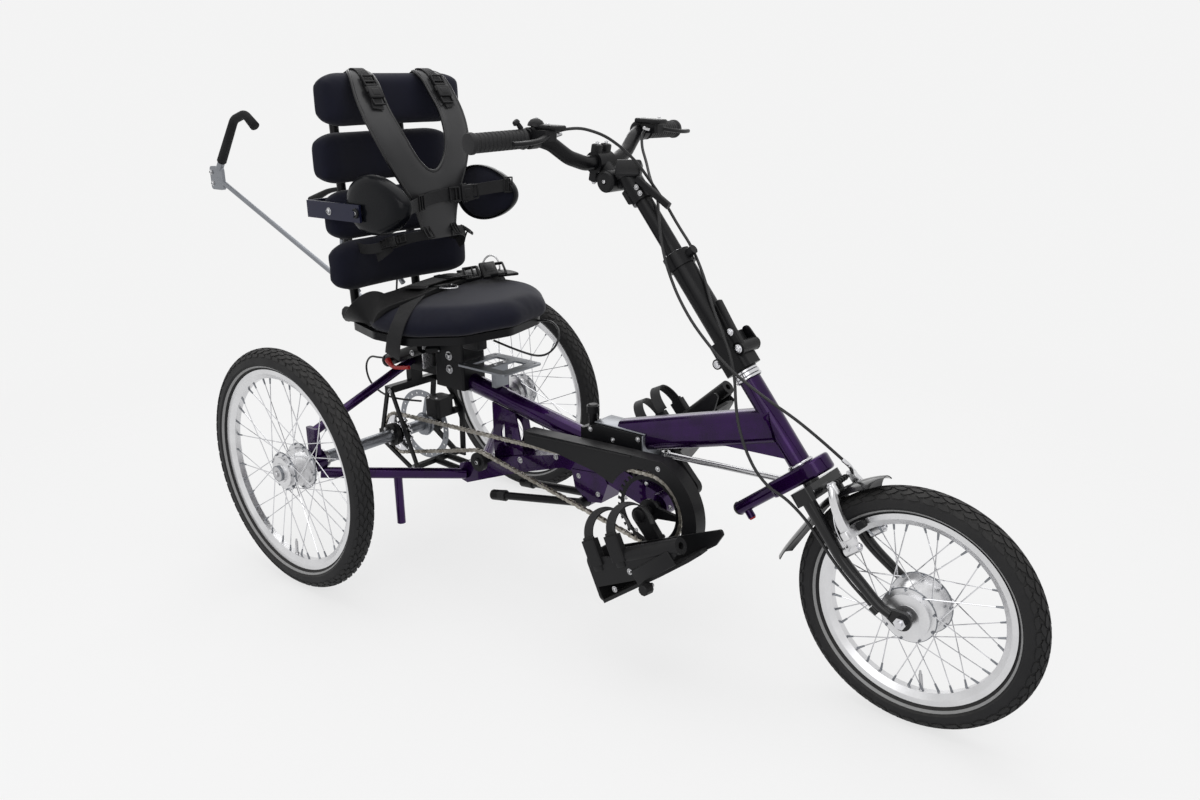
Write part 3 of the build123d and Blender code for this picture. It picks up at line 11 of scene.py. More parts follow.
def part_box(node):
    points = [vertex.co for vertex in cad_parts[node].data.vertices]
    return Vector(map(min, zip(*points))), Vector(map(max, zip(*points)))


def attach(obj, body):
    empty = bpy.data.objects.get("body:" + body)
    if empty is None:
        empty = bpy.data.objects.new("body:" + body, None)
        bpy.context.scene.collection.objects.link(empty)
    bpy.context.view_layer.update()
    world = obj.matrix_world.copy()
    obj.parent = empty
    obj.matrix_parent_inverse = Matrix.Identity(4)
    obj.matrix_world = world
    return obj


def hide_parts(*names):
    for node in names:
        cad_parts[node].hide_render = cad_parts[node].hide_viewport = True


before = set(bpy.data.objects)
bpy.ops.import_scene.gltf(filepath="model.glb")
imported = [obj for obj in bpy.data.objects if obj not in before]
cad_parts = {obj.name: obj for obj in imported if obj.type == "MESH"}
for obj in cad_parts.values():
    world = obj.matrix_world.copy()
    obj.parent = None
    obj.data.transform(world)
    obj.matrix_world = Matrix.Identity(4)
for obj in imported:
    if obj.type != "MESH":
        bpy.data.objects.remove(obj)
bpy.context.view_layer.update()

bl_info = {
    "name": "Therapy Tricycle",
    "version": (1, 0, 0),
    "blender": (4, 5, 0),
    "location": "View3D > Sidebar > Tricycle",
    "description": "Paint, padding, harness, controls and small hardware for a therapy tricycle's frame",
    "category": "Object",
}


# ---------------------------------------------------------------- places on the tricycle
def middle_of(node):
    low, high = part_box(node)
    return (low + high) / 2


REAR_X = middle_of("rear_right_tyre").x
FRONT_AXLE = middle_of("front_tyre")
LEAN = math.radians(51.5)  # the steering axis above the floor
UP = Vector((-math.cos(LEAN), 0, math.sin(LEAN)))
AHEAD = Vector((math.sin(LEAN), 0, math.cos(LEAN)))
LEFT = Vector((0, 1, 0))
HEAD_FOOT = FRONT_AXLE + UP * 0.283 - AHEAD * 0.047
SIDES = ((-1, "right"), (1, "left"))
CRANK_TURN = math.radians(-48.8)  # the right crank arm's angle at rest


def at(x, y, z):
    """Millimetres ahead of the rear axle, to the rider's left and above the floor, as a point in metres."""
    return Vector((REAR_X + x / 1000, y / 1000, z / 1000))


def steer(along, ahead=0.0, y=0.0):
    """Millimetres up the steering axis from the head tube's foot, ahead of it and to the left."""
    return HEAD_FOOT + UP * along / 1000 + AHEAD * ahead / 1000 + LEFT * y / 1000


def route(place, *steps):
    """The points at several places, each as at() or steer() takes it."""
    return [place(*step) for step in steps]


def facing(direction, up=Vector((0, 0, 1))):
    """A turn that takes Z to a direction and keeps Y as near as it can to another."""
    z = Vector(direction).normalized()
    x = Vector(up).cross(z)
    if x.length < 1e-4:
        x = Vector((1, 0, 0))
    x.normalize()
    return Matrix((x, z.cross(x), z)).transposed()


def placed(origin, direction=(0, 0, 1), up=(0, 0, 1)):
    return Matrix.Translation(origin) @ facing(direction, Vector(up)).to_4x4()


def shifted(place, x, y, z):
    """A place moved in its own axes, in millimetres."""
    return place @ Matrix.Translation(Vector((x, y, z)) / 1000)


# ---------------------------------------------------------------- shapes in millimetres
def outward(bm):
    bmesh.ops.remove_doubles(bm, verts=bm.verts, dist=1e-6)
    bmesh.ops.recalc_face_normals(bm, faces=bm.faces)


def around(verts, links="link_faces"):
    """The faces or edges that meet some corners, each once and always in the same order."""
    return list(dict.fromkeys(item for vert in verts for item in getattr(vert, links)))


def verts_in(geom):
    return [v for v in geom if isinstance(v, bmesh.types.BMVert)]


def soften(bm, edges, width, segments=2):
    bmesh.ops.bevel(
        bm, geom=edges, offset=width / 1000, affect="EDGES", segments=segments, profile=0.5, material=-1,
        clamp_overlap=True,
    )


def box(bm, size, place, edge=0.0, segments=2):
    """A block with its edges rounded, its middle at the place or point."""
    if isinstance(place, Vector):
        place = Matrix.Translation(place)
    scale = Matrix.Diagonal((*Vector(size) / 1000, 1))
    made = bmesh.ops.create_cube(bm, size=1, matrix=place @ scale)["verts"]
    if edge:
        soften(bm, around(made, "link_edges"), edge, segments)


def turned(bm, profile, place, steps=24):
    """A closed solid of revolution about the place's Z, from (radius, height) pairs."""
    points = [bm.verts.new((r / 1000, 0, h / 1000)) for r, h in profile]
    edges = [bm.edges.new(pair) for pair in zip(points, points[1:])]
    if profile[0] == profile[-1]:
        bmesh.ops.remove_doubles(bm, verts=points, dist=1e-7)
        edges = [e for e in edges if e.is_valid]
        points = [v for v in points if v.is_valid]
    before = set(bm.verts) - set(points)
    bmesh.ops.spin(
        bm, geom=points + edges, cent=(0, 0, 0), axis=(0, 0, 1), angle=math.tau, steps=steps, use_merge=True
    )
    bmesh.ops.remove_doubles(bm, verts=[v for v in bm.verts if v not in before], dist=1e-6)
    made = [v for v in bm.verts if v not in before]
    bmesh.ops.recalc_face_normals(bm, faces=around(made))
    bmesh.ops.transform(bm, matrix=place, verts=made)


def looped(profile):
    return [*profile, profile[0]]


def rod(bm, start, end, radius, tip=None, steps=16, edge=0.0):
    """A round bar between two points, tapered to the tip's radius."""
    run = end - start
    tip = radius if tip is None else tip
    length = run.length * 1000
    if edge:
        ends = [(radius - edge, 0), (radius, edge), (tip, length - edge), (tip - edge, length)]
    else:
        ends = [(radius, 0), (tip, length)]
    turned(bm, [(0, 0), *ends, (0, length)], placed(start, run), steps)


def plate(bm, outline, thick, place, edge=0.0):
    """A flat plate with a rounded rim, from (x, y) pairs on the place's own plane."""
    before = set(bm.verts)
    face = bm.faces.new([bm.verts.new((x / 1000, y / 1000, 0)) for x, y in outline])
    extruded = bmesh.ops.extrude_face_region(bm, geom=[face])["geom"]
    bmesh.ops.translate(bm, vec=(0, 0, thick / 1000), verts=verts_in(extruded))
    made = [v for v in bm.verts if v not in before]
    bmesh.ops.recalc_face_normals(bm, faces=around(made))
    if edge:
        rims = [e for e in around(made, "link_edges") if abs(e.verts[0].co.z - e.verts[1].co.z) < 1e-7]
        soften(bm, rims, edge)
    made = [v for v in bm.verts if v not in before]
    bmesh.ops.transform(bm, matrix=place, verts=made)


def ring(bm, centre_line, radius, place, steps=32, sides=8):
    """A round-section hoop: a small circle turned about the place's Z."""
    turns = [math.tau * i / sides for i in range(sides)]
    circle = [(centre_line + radius * math.cos(a), radius * math.sin(a)) for a in turns]
    turned(bm, looped(circle), place, steps)


# ---------------------------------------------------------------- pieces
def meshed(name, bm):
    """A mesh from a bmesh, which is then done with."""
    mesh = bpy.data.meshes.new(name)
    bm.to_mesh(mesh)
    bm.free()
    return mesh


def shown(name, data):
    made = bpy.data.objects.new(name, data)
    bpy.context.scene.collection.objects.link(made)
    return made


def link(name, data, finish, body):
    made = shown(name, data)
    data.materials.append(bpy.data.materials[finish])
    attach(made, body)
    return made


def piece(name, bm, finish, body, angle=35):
    """A finished object from a bmesh whose points are already where they belong, crisp at sharper corners."""
    made = link(name, meshed(name, bm), finish, body)
    made.data.shade_smooth()
    made.data.set_sharp_from_angle(angle=math.radians(angle))
    return made


def build(name, finish, body, *shapes):
    """A finished object from shapes, each given as its function and what follows the bmesh."""
    bm = bmesh.new()
    for shape, *values in shapes:
        shape(bm, *values)
    return piece(name, bm, finish, body)


def smooth_curve(name, points, resolution, closed=False, taper=None):
    """A NURBS curve led by a route's points, with a share of its radius at each."""
    curve = bpy.data.curves.new(name, "CURVE")
    curve.dimensions = "3D"
    curve.resolution_u = resolution
    spline = curve.splines.new("NURBS")
    spline.points.add(len(points) - 1)
    for target, point, share in zip(spline.points, points, taper or [1] * len(points)):
        target.co = (*point, 1)
        target.radius = share
    spline.order_u = 3
    spline.use_cyclic_u = closed
    spline.use_endpoint_u = not closed
    return curve


def path_of(points):
    """Close points along the smooth line of a route."""
    curve = smooth_curve("route", points, 10)
    holder = bpy.data.objects.new("route", curve)
    mesh = bpy.data.meshes.new_from_object(holder)
    line = [v.co.copy() for v in mesh.vertices]
    bpy.data.objects.remove(holder)
    bpy.data.curves.remove(curve)
    bpy.data.meshes.remove(mesh)
    return line


def tube(name, points, radius, finish, body, closed=False, taper=None):
    """A round bar, wire or hose along a smooth route."""
    curve = smooth_curve(name, points, 8, closed, taper)
    curve.bevel_depth = radius / 1000
    curve.bevel_resolution = 3
    curve.use_fill_caps = not closed
    return link(name, curve, finish, body)


def distances(line):
    """How far along a line each of its points lies."""
    run = [0.0]
    for a, b in zip(line, line[1:]):
        run.append(run[-1] + (b - a).length)
    return run


def ribbon(bm, line, width, thick, across, taper=None):
    """A flat strap along a line, with its weave's lengthwise and crosswise places as its UV map in metres."""
    layer = bm.loops.layers.uv.verify()
    before = set(bm.verts)
    last = len(line) - 1
    sides = []
    for i, point in enumerate(line):
        way = line[min(i + 1, last)] - line[max(i - 1, 0)]
        hint = across(i / last) if callable(across) else Vector(across)
        side = (hint - way * (hint.dot(way) / way.length_squared)).normalized()
        sides.append((point, side, way.normalized().cross(side)))
    half = [width / 2000 * (taper(i / last) if taper else 1) for i in range(last + 1)]
    start = [bm.verts.new(p - s * h - n * thick / 2000) for (p, s, n), h in zip(sides, half)]
    edges = [bm.edges.new(pair) for pair in zip(start, start[1:])]
    chains = [start]
    for way_across, way_out in ((2, 0), (0, 1), (-2, 0), (0, -1)):
        moves = [s * h * way_across + n * thick / 1000 * way_out for (p, s, n), h in zip(sides, half)]
        geom = bmesh.ops.extrude_edge_only(bm, edges=edges)["geom"]
        edges = [g for g in geom if isinstance(g, bmesh.types.BMEdge)]
        verts = {v for e in edges for v in e.verts}
        ordered = []
        for move, old in zip(moves, chains[-1]):
            new = next(e.other_vert(old) for e in old.link_edges if e.other_vert(old) in verts)
            new.co += move
            ordered.append(new)
        chains.append(ordered)
    run = distances(line)
    where = {}
    for u, chain in zip((-1, 1, 1, -1, -1), chains):
        for i, vert in enumerate(chain):
            where[vert] = (u * half[i], run[i])
    bmesh.ops.remove_doubles(bm, verts=chains[0] + chains[4], dist=1e-7)
    made = [v for v in bm.verts if v not in before]
    bmesh.ops.holes_fill(bm, edges=[e for e in around(made, "link_edges") if e.is_boundary], sides=0)
    faces = around(made)
    bmesh.ops.recalc_face_normals(bm, faces=faces)
    for face in faces:
        for loop in face.loops:
            loop[layer].uv = where[loop.vert]


def rimmed(made, width, segments):
    """Rounds an object's sharp edges with a modifier."""
    rim = made.modifiers.new("Rim", "BEVEL")
    rim.width = width / 1000
    rim.segments = segments
    rim.limit_method = "ANGLE"


def strap(name, routes, thick=1.6):
    """Webbing on the frame as one piece: each route is (points, width, the direction across it)."""
    bm = bmesh.new()
    for points, width, across in routes:
        ribbon(bm, path_of(points), width, thick, across)
    rimmed(piece(name, bm, "Webbing", "frame", 50), 0.35, 2)


# ---------------------------------------------------------------- finishes
class Graph:
    """A node tree with short ways to add to it. Inputs, by number or name, take values or other nodes' sockets."""

    def __init__(self, tree):
        self.tree = tree

    def node(self, kind, inputs=None, **settings):
        made = self.tree.nodes.new(f"ShaderNode{kind}")
        for key, value in settings.items():
            setattr(made, key, value)
        for key, value in (inputs or {}).items():
            if isinstance(value, bpy.types.NodeSocket):
                self.link(value, made.inputs[key])
            else:
                made.inputs[key].default_value = value
        return made

    def link(self, source, target):
        self.tree.links.new(source, target)

    def maths(self, operation, *values):
        return self.node("Math", dict(enumerate(values)), operation=operation).outputs[0]

    def mix(self, share, first, second):
        """The blend of two colours."""
        return self.node("Mix", {0: share, 6: first, 7: second}, data_type="RGBA").outputs[2]

    def noise(self, vector, scale, detail):
        return self.node("TexNoise", {"Vector": vector, "Scale": scale, "Detail": detail}).outputs["Fac"]

    def axes(self, vector):
        return self.node("SeparateXYZ", {0: vector}).outputs

    def group(self, name, inputs):
        return self.node("Group", inputs, node_tree=bpy.data.node_groups[name]).outputs


def wire_mottle(graph, given):
    """Two close colours in soft patches, with a roughness that varies with them and fine rubbed specks."""
    maths = graph.maths
    broad = graph.noise(given["Vector"], given["Scale"], 4.0)
    fine = graph.noise(given["Vector"], maths("MULTIPLY", given["Scale"], 14.0), 3.0)
    both = maths("ADD", maths("MULTIPLY", broad, 0.7), maths("MULTIPLY", fine, 0.3))
    mask = graph.node("MapRange", {"Value": both, "From Min": 0.36, "From Max": 0.64}).outputs["Result"]
    away = maths("MULTIPLY", maths("SUBTRACT", mask, 0.5), given["Spread"])
    colour = graph.mix(mask, given["Colour"], given["Second Colour"])
    return {"Colour": colour, "Roughness": maths("ADD", given["Roughness"], away), "Mask": mask}


def wire_grain(graph, given):
    """A pebbled moulded or hide surface."""
    place = {"Vector": given["Vector"], "Scale": given["Scale"]}
    cells = graph.node("TexVoronoi", place, feature="SMOOTH_F1").outputs["Distance"]
    soft = graph.noise(given["Vector"], given["Scale"], 2.0)
    return {"Height": graph.maths("ADD", cells, graph.maths("MULTIPLY", soft, 0.5))}


def wire_knit(graph, given):
    """The fine ribs of stretched knit over foam, the same on every side of the piece."""
    maths = graph.maths
    x, y, z = (
        maths("SINE", maths("MULTIPLY", axis, maths("MULTIPLY", given["Scale"], factor)))
        for axis, factor in zip(graph.axes(given["Vector"]), (4.4, 4.4, 6.2))
    )
    return {"Height": maths("MULTIPLY_ADD", maths("ADD", maths("ADD", x, y), z), 0.16, 0.5)}


def wire_weave(graph, given):
    """Webbing's lengthwise ribs and crossing yarns, from a UV map in metres."""
    maths = graph.maths
    axes = graph.axes(given["Vector"])
    turns = maths("DIVIDE", math.tau, given["Pitch"])
    across = maths("SINE", maths("MULTIPLY", axes[0], turns))
    shift = maths("MULTIPLY", maths("SIGN", across), math.pi / 2)
    along = maths("SINE", maths("ADD", maths("MULTIPLY", axes[1], turns), shift))
    ribs = maths("ABSOLUTE", across)
    return {"Height": maths("MULTIPLY_ADD", maths("MULTIPLY", ribs, along), 0.5, 0.5), "Mask": ribs}


def wire_lines(graph, given):
    """Fine lines left by turning, in rings about one axis."""
    maths = graph.maths
    x, y, z = graph.axes(given["Vector"])
    radius = maths("SQRT", maths("ADD", maths("POWER", x, 2.0), maths("POWER", z, 2.0)))
    place = graph.node("CombineXYZ", {0: radius, 1: y}).outputs[0]
    return {"Height": graph.noise(place, given["Scale"], 1.0)}


def wire_dust(graph, given):
    """Pale dust that settles on faces that look up."""
    maths = graph.maths
    facing_up = graph.axes(graph.node("NewGeometry").outputs["Normal"])[2]
    cloud = graph.noise(given["Vector"], 90.0, 5.0)
    level = maths("MULTIPLY", maths("MULTIPLY", maths("MAXIMUM", facing_up, 0.0), cloud), given["Amount"])
    return {"Colour": graph.mix(level, given["Colour"], (0.45, 0.43, 0.4, 1))}


EFFECTS = {  # group: its wiring, its inputs beside the vector with their defaults, and its outputs
    "Mottle": (
        wire_mottle,
        {
            "Scale": 20.0, "Colour": (0.5, 0.5, 0.5, 1), "Second Colour": (0.4, 0.4, 0.4, 1), "Roughness": 0.4,
            "Spread": 0.1,
        },
        ("Colour", "Roughness", "Mask"),
    ),
    "Pebble Grain": (wire_grain, {"Scale": 400.0}, ("Height",)),
    "Knit": (wire_knit, {"Scale": 900.0}, ("Height",)),
    "Webbing Weave": (wire_weave, {"Pitch": 0.0016}, ("Height", "Mask")),
    "Turned Lines": (wire_lines, {"Scale": 900.0}, ("Height",)),
    "Settled Dust": (wire_dust, {"Colour": (0, 0, 0, 1), "Amount": 0.05}, ("Colour",)),
}


def make_effect(name, wiring, inputs, outputs):
    """A node group from its wiring, with a colour socket wherever a label says so and numbers elsewhere."""
    tree = bpy.data.node_groups.new(name, "ShaderNodeTree")

    def socket(label, way):
        kind = "Vector" if label == "Vector" else "Color" if label.endswith("Colour") else "Float"
        return tree.interface.new_socket(name=label, in_out=way, socket_type=f"NodeSocket{kind}")

    socket("Vector", "INPUT")
    for label, value in inputs.items():
        socket(label, "INPUT").default_value = value
    for label in outputs:
        socket(label, "OUTPUT")
    given = tree.nodes.new("NodeGroupInput").outputs
    out = tree.nodes.new("NodeGroupOutput").inputs
    for label, source in wiring(Graph(tree), given).items():
        tree.links.new(source, out[label])


def finish(name, slot, colours, rough, relief=None, mottle=25.0, dust=0.018, specular=0.5, **plain):
    """A material: mottled colour and roughness, dust, one kind of relief, and plain values on its own sockets.

    rough is (middle, spread) and relief is (group, scale, strength, distance in millimetres)."""
    material = bpy.data.materials.new(name)
    material.use_nodes = True
    graph = Graph(material.node_tree)
    shader = graph.tree.nodes["Principled BSDF"].inputs
    shader["Specular IOR Level"].default_value = specular
    for label, value in plain.items():
        shader[label.replace("_", " ")].default_value = value
    spot = graph.node("TexCoord").outputs["Object"]
    first, second = (colours, tuple(c * 1.12 for c in colours)) if len(colours) == 3 else colours
    tones = {"Colour": (*first, 1), "Second Colour": (*second, 1), "Roughness": rough[0], "Spread": rough[1]}
    patches = graph.group("Mottle", {"Vector": spot, "Scale": mottle, **tones})
    colour = patches["Colour"]
    if dust:
        colour = graph.group("Settled Dust", {"Vector": spot, "Colour": colour, "Amount": dust})["Colour"]
    graph.link(colour, shader["Base Color"])
    graph.link(patches["Roughness"], shader["Roughness"])
    if relief:
        kind, scale, strength, depth = relief
        where = graph.node("UVMap").outputs[0] if kind == "Webbing Weave" else spot
        height = graph.group(kind, {0: where, 1: scale})["Height"]
        bump = graph.node("Bump", {"Strength": strength, "Distance": depth / 1000, "Height": height})
        graph.link(bump.outputs[0], shader["Normal"])


def make_finishes(paint, padding):
    """Every finish on the tricycle. Paint and padding are the two colours that a maker would change."""
    for name, (wiring, inputs, outputs) in EFFECTS.items():
        make_effect(name, wiring, inputs, outputs)
    dark_paint = tuple(c * 0.55 for c in paint)
    pale_padding = tuple(c * 1.5 for c in padding)
    grain, knit, weave, lines = "Pebble Grain", "Knit", "Webbing Weave", "Turned Lines"
    finish("Purple Paint", "frame_paint", (paint, dark_paint), (0.26, 0.08), (grain, 1500, 0.04, 0.05),
           dust=0.006, Metallic=0.75, Coat_Weight=0.4, Coat_Roughness=0.03, specular=0.12, IOR=1.4)
    finish("Black Paint", "black_paint", (0.005, 0.005, 0.006), (0.34, 0.1), (grain, 1200, 0.05, 0.05),
           specular=0.3, IOR=1.35)
    finish("Gloss Black Paint", "black_paint", (0.004, 0.004, 0.005), (0.2, 0.08),
           Coat_Weight=0.4, Coat_Roughness=0.05, specular=0.15)
    finish("Grey Steel", "grey_steel", (0.22, 0.23, 0.25), (0.36, 0.12), (lines, 500, 0.1, 0.05), Metallic=0.85)
    finish("Chrome", "chrome", (0.62, 0.62, 0.64), (0.14, 0.06), Metallic=1.0)
    finish("Bright Alloy", "alloy", (0.64, 0.64, 0.65), (0.33, 0.08), (lines, 700, 0.06, 0.03), Metallic=1.0)
    finish("Tyre Rubber", "tyre", (0.013, 0.013, 0.014), (0.72, 0.12), (grain, 900, 0.25, 0.15),
           dust=0.12, specular=0.3)
    finish("Reflective Band", "tyre", (0.3, 0.3, 0.3), (0.5, 0.1), (grain, 2200, 0.15, 0.05))
    finish("Moulded Plastic", "moulded", (0.008, 0.008, 0.009), (0.42, 0.12), (grain, 1100, 0.18, 0.08),
           dust=0.03, specular=0.3, IOR=1.38)
    finish("Grip Rubber", "grip_rubber", (0.013, 0.013, 0.014), (0.6, 0.14), (grain, 1300, 0.3, 0.1), specular=0.3)
    finish("Handle Foam", "foam", (0.011, 0.011, 0.012), (0.85, 0.1), (grain, 1800, 0.5, 0.2), specular=0.25)
    finish("Stretch Knit", "neoprene", (padding, pale_padding), (0.85, 0.1), (knit, 900, 0.12, 0.1),
           mottle=9, specular=0.15, Sheen_Weight=0.12, Sheen_Roughness=0.5)
    finish("Vest Vinyl", "vinyl", (0.018, 0.018, 0.0195), (0.4, 0.12), (grain, 700, 0.16, 0.12), specular=0.4)
    finish("Piping", "vinyl", (0.006, 0.006, 0.007), (0.3, 0.1), (grain, 900, 0.1, 0.05), specular=0.4)
    finish("Belt Pad", "webbing", (0.006, 0.006, 0.0065), (0.55, 0.12), (knit, 1400, 0.3, 0.15),
           dust=0.02, specular=0.2)
    finish("Webbing", "webbing", (0.01, 0.01, 0.011), (0.66, 0.12), (weave, 0.0017, 0.7, 0.25),
           specular=0.25, Sheen_Weight=0.1, Sheen_Roughness=0.4)
    finish("Pad Back", "pad_shell", (0.003, 0.0035, 0.005), (0.3, 0.1), (grain, 900, 0.04, 0.04),
           dust=0.02, Coat_Weight=0.12, Coat_Roughness=0.12, specular=0.15, IOR=1.3)
    finish("Dark Blue Bracket", "bracket_blue", (0.007, 0.008, 0.028), (0.4, 0.1), (grain, 1200, 0.08, 0.05),
           Metallic=0.3, specular=0.35)
    finish("Chain Steel", "chain_steel", ((0.45, 0.43, 0.39), (0.2, 0.18, 0.15)), (0.34, 0.16),
           Metallic=0.9, mottle=120)
    finish("Cable Sleeve", "cable_sleeve", (0.013, 0.013, 0.014), (0.38, 0.1), (grain, 900, 0.06, 0.05),
           specular=0.35)
    finish("Zinc", "chrome", (0.48, 0.48, 0.49), (0.3, 0.16), (grain, 1500, 0.08, 0.05), Metallic=1.0)
    finish("Red Cap", "moulded", (0.4, 0.012, 0.01), (0.4, 0.1), (grain, 1100, 0.1, 0.05))


FRAME_FINISHES = {
    "Purple Paint": "front_beam upper_rail lower_beam rear_stays steering_plate",
    "Black Paint": "seat_support drive_frame back_uprights post_hinge post_lower post_upper stem handlebar "
    "prop_stand seat_pan clamp_box chainring",
    "Gloss Black Paint": "fork mudguard",
    "Grey Steel": "push_rod disc_rotor drive_axle rack_plate",
    "Bright Alloy": "front_rim rear_right_rim rear_left_rim front_hub rear_right_hub rear_left_hub brake_arms",
    "Zinc": "steering_rod",
    "Chrome": "front_spokes rear_right_spokes rear_left_spokes rear_sprocket front_axle",
    "Moulded Plastic": "chain_guard idler sandal_right sandal_left crankset disc_caliper brake_levers",
    "Tyre Rubber": "front_tyre rear_right_tyre rear_left_tyre",
    "Grip Rubber": "grips sandal_straps_right sandal_straps_left",
    "Handle Foam": "push_grip",
    "Dark Blue Bracket": "pad_brackets",
    "Cable Sleeve": "front_brake_cable hub_brake_cable",
    "Chain Steel": "chain",
    "Stretch Knit": "seat_cushion back_rolls lateral_pads",
    "Webbing": "lap_belt harness",
}


# ---------------------------------------------------------------- camera, light and floor
def make_camera():
    """The view from ahead of the rider's right knee, a little above the bars."""
    azimuth, elevation, roll = (math.radians(degrees) for degrees in (39.69, 17.88, -0.74))
    level = math.cos(elevation)
    back = Vector((math.sin(azimuth) * level, -math.cos(azimuth) * level, math.sin(elevation)))
    right = Vector((0, 0, 1)).cross(back).normalized()
    turn = Matrix((right, back.cross(right), back)).transposed() @ Matrix.Rotation(roll, 3, "Z")
    lens = bpy.data.cameras.new("View")
    lens.sensor_width = 36
    lens.lens = 29.56
    camera = shown("View", lens)
    camera.matrix_world = Matrix.Translation(at(1659.2, -1355.3, 983.8)) @ turn.to_4x4()
    bpy.context.scene.camera = camera


def add_lamp(name, place, target, size, power):
    lamp = bpy.data.lights.new(name, "AREA")
    lamp.shape = "RECTANGLE"
    lamp.size, lamp.size_y = size
    lamp.energy = power
    shown(name, lamp).matrix_world = placed(place, Vector(place) - Vector(target))


def seen_directly(graph):
    """1 for rays from the camera, a mirror or glass, and 0 for the light that falls on the tricycle."""
    path = graph.node("LightPath").outputs
    either = graph.maths("MAXIMUM", path["Is Camera Ray"], path["Is Glossy Ray"])
    return graph.maths("MAXIMUM", either, path["Is Transmission Ray"])


def grey(level):
    return (level, level, level, 1)


def make_world(backdrop, level):
    world = bpy.data.worlds.new("Studio")
    world.use_nodes = True
    graph = Graph(world.node_tree)
    tone = graph.mix(seen_directly(graph), grey(level), grey(backdrop))
    graph.link(tone, world.node_tree.nodes["Background"].inputs["Color"])
    bpy.context.scene.world = world


def make_floor(tone, bounce, glow):
    """A pale disc that keeps the shadow and fades into the backdrop."""
    bm = bmesh.new()
    bmesh.ops.create_circle(bm, cap_ends=True, segments=96, radius=FLOOR_RADIUS)
    floor = shown("floor", meshed("floor", bm))
    material = bpy.data.materials.new("Floor")
    material.use_nodes = True
    graph = Graph(material.node_tree)
    shader = graph.tree.nodes["Principled BSDF"]
    for label, value in (("Roughness", 0.9), ("Specular IOR Level", 0.0), ("Emission Color", grey(1))):
        shader.inputs[label].default_value = value
    seen = seen_directly(graph)
    graph.link(graph.mix(seen, grey(bounce), grey(tone)), shader.inputs["Base Color"])
    graph.link(graph.maths("MULTIPLY", seen, glow), shader.inputs["Emission Strength"])
    x, y, _ = graph.axes(graph.node("TexCoord").outputs["Object"])
    flat = graph.node("CombineXYZ", {0: x, 1: y}).outputs[0]
    away = graph.node("VectorMath", {0: flat}, operation="LENGTH").outputs["Value"]
    span = {"Value": away, "From Min": FADE[0], "From Max": FADE[1]}
    fade = graph.node("MapRange", span, interpolation_type="SMOOTHSTEP").outputs["Result"]
    clear = graph.node("BsdfTransparent").outputs[0]
    mixed = graph.node("MixShader", {0: fade, 1: shader.outputs[0], 2: clear})
    graph.link(mixed.outputs[0], graph.tree.nodes["Material Output"].inputs["Surface"])
    floor.data.materials.append(material)


FLOOR_RADIUS = 6
FADE = (0.9, 2.6)  # metres from the middle where the floor starts to fade and where it is gone
LAMPS = (  # name, place and target in metres, size, power
    ("Overhead", (0.1, 0.2, 2.9), (0.1, 0, 0.4), (3.2, 2.6), 34),
    ("Near Side", (1.2, -2.6, 1.7), (0.1, 0, 0.5), (2.0, 1.6), 13),
    ("Strip", (0.9, -2.1, 2.3), (0.2, 0, 0.5), (2.8, 0.16), 6),
    ("Far Side", (-1.9, 2.2, 1.9), (0.0, 0, 0.5), (1.6, 1.6), 15),
)


def make_stage():
    make_camera()
    make_world(backdrop=0.9, level=0.5)
    make_floor(tone=0.24, bounce=0.6, glow=0.7)
    for lamp in LAMPS:
        add_lamp(*lamp)
    bpy.context.scene.view_settings.view_transform = "Standard"


# ---------------------------------------------------------------- padding
def merged(part):
    """A copy of a CAD part's surface with its loose triangles joined."""
    bm = bmesh.new()
    bm.from_mesh(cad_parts[part].data)
    bmesh.ops.remove_doubles(bm, verts=bm.verts, dist=1e-5)
    return bm


def solids(part):
    """Each closed solid of a CAD part, from the lowest up."""
    whole = merged(part)
    whole.verts.ensure_lookup_table()
    left = set(range(len(whole.verts)))
    found = []
    while left:
        stack = [left.pop()]
        group = set(stack)
        while stack:
            for edge in whole.verts[stack.pop()].link_edges:
                new = {vert.index for vert in edge.verts} & left
                left -= new
                group |= new
                stack += new
        one = whole.copy()
        bmesh.ops.delete(one, geom=[v for v in one.verts if v.index not in group], context="VERTS")
        found.append(one)
    whole.free()
    return sorted(found, key=lambda bm: sum(v.co.z for v in bm.verts) / len(bm.verts))


def baked(made):
    """Applies an object's modifiers to its mesh."""
    made.update_tag()
    bpy.context.view_layer.update()
    mesh = bpy.data.meshes.new_from_object(made.evaluated_get(bpy.context.evaluated_depsgraph_get()))
    made.modifiers.clear()
    made.data = mesh


def voxelled(name, bm, shape, size):
    """A closed form remade in even squares of a size in millimetres, its corners then moved by the shape."""
    made = shown(name, meshed(name, bm))
    remesh = made.modifiers.new("Squares", "REMESH")
    remesh.mode = "VOXEL"
    remesh.voxel_size = size / 1000
    baked(made)
    for vert in made.data.vertices:
        vert.co = shape(vert.co)
    return made


PRESSURE = 3.0  # the filling's pressure inside a cover
SETTLED = 20  # the frame by which the covers have filled


def plump(caps):
    """Swells closed forms with cloth pressure, each point moving no more than its form's cap in millimetres."""
    starts = {}
    for made in caps:
        starts[made] = [v.co.copy() for v in made.data.vertices]
        cloth = made.modifiers.new("Filling", "CLOTH").settings
        cloth.quality = 5
        cloth.mass = 0.2
        cloth.use_pressure = True
        cloth.uniform_pressure_force = PRESSURE
        cloth.effector_weights.gravity = 0
    for number in range(1, SETTLED + 1):
        bpy.context.scene.frame_set(number)
    for made, cap in caps.items():
        baked(made)
        for vert, start in zip(made.data.vertices, starts[made]):
            move = vert.co - start
            if move.length > cap / 1000:
                vert.co = start + move.normalized() * cap / 1000
    bpy.context.scene.frame_set(1)


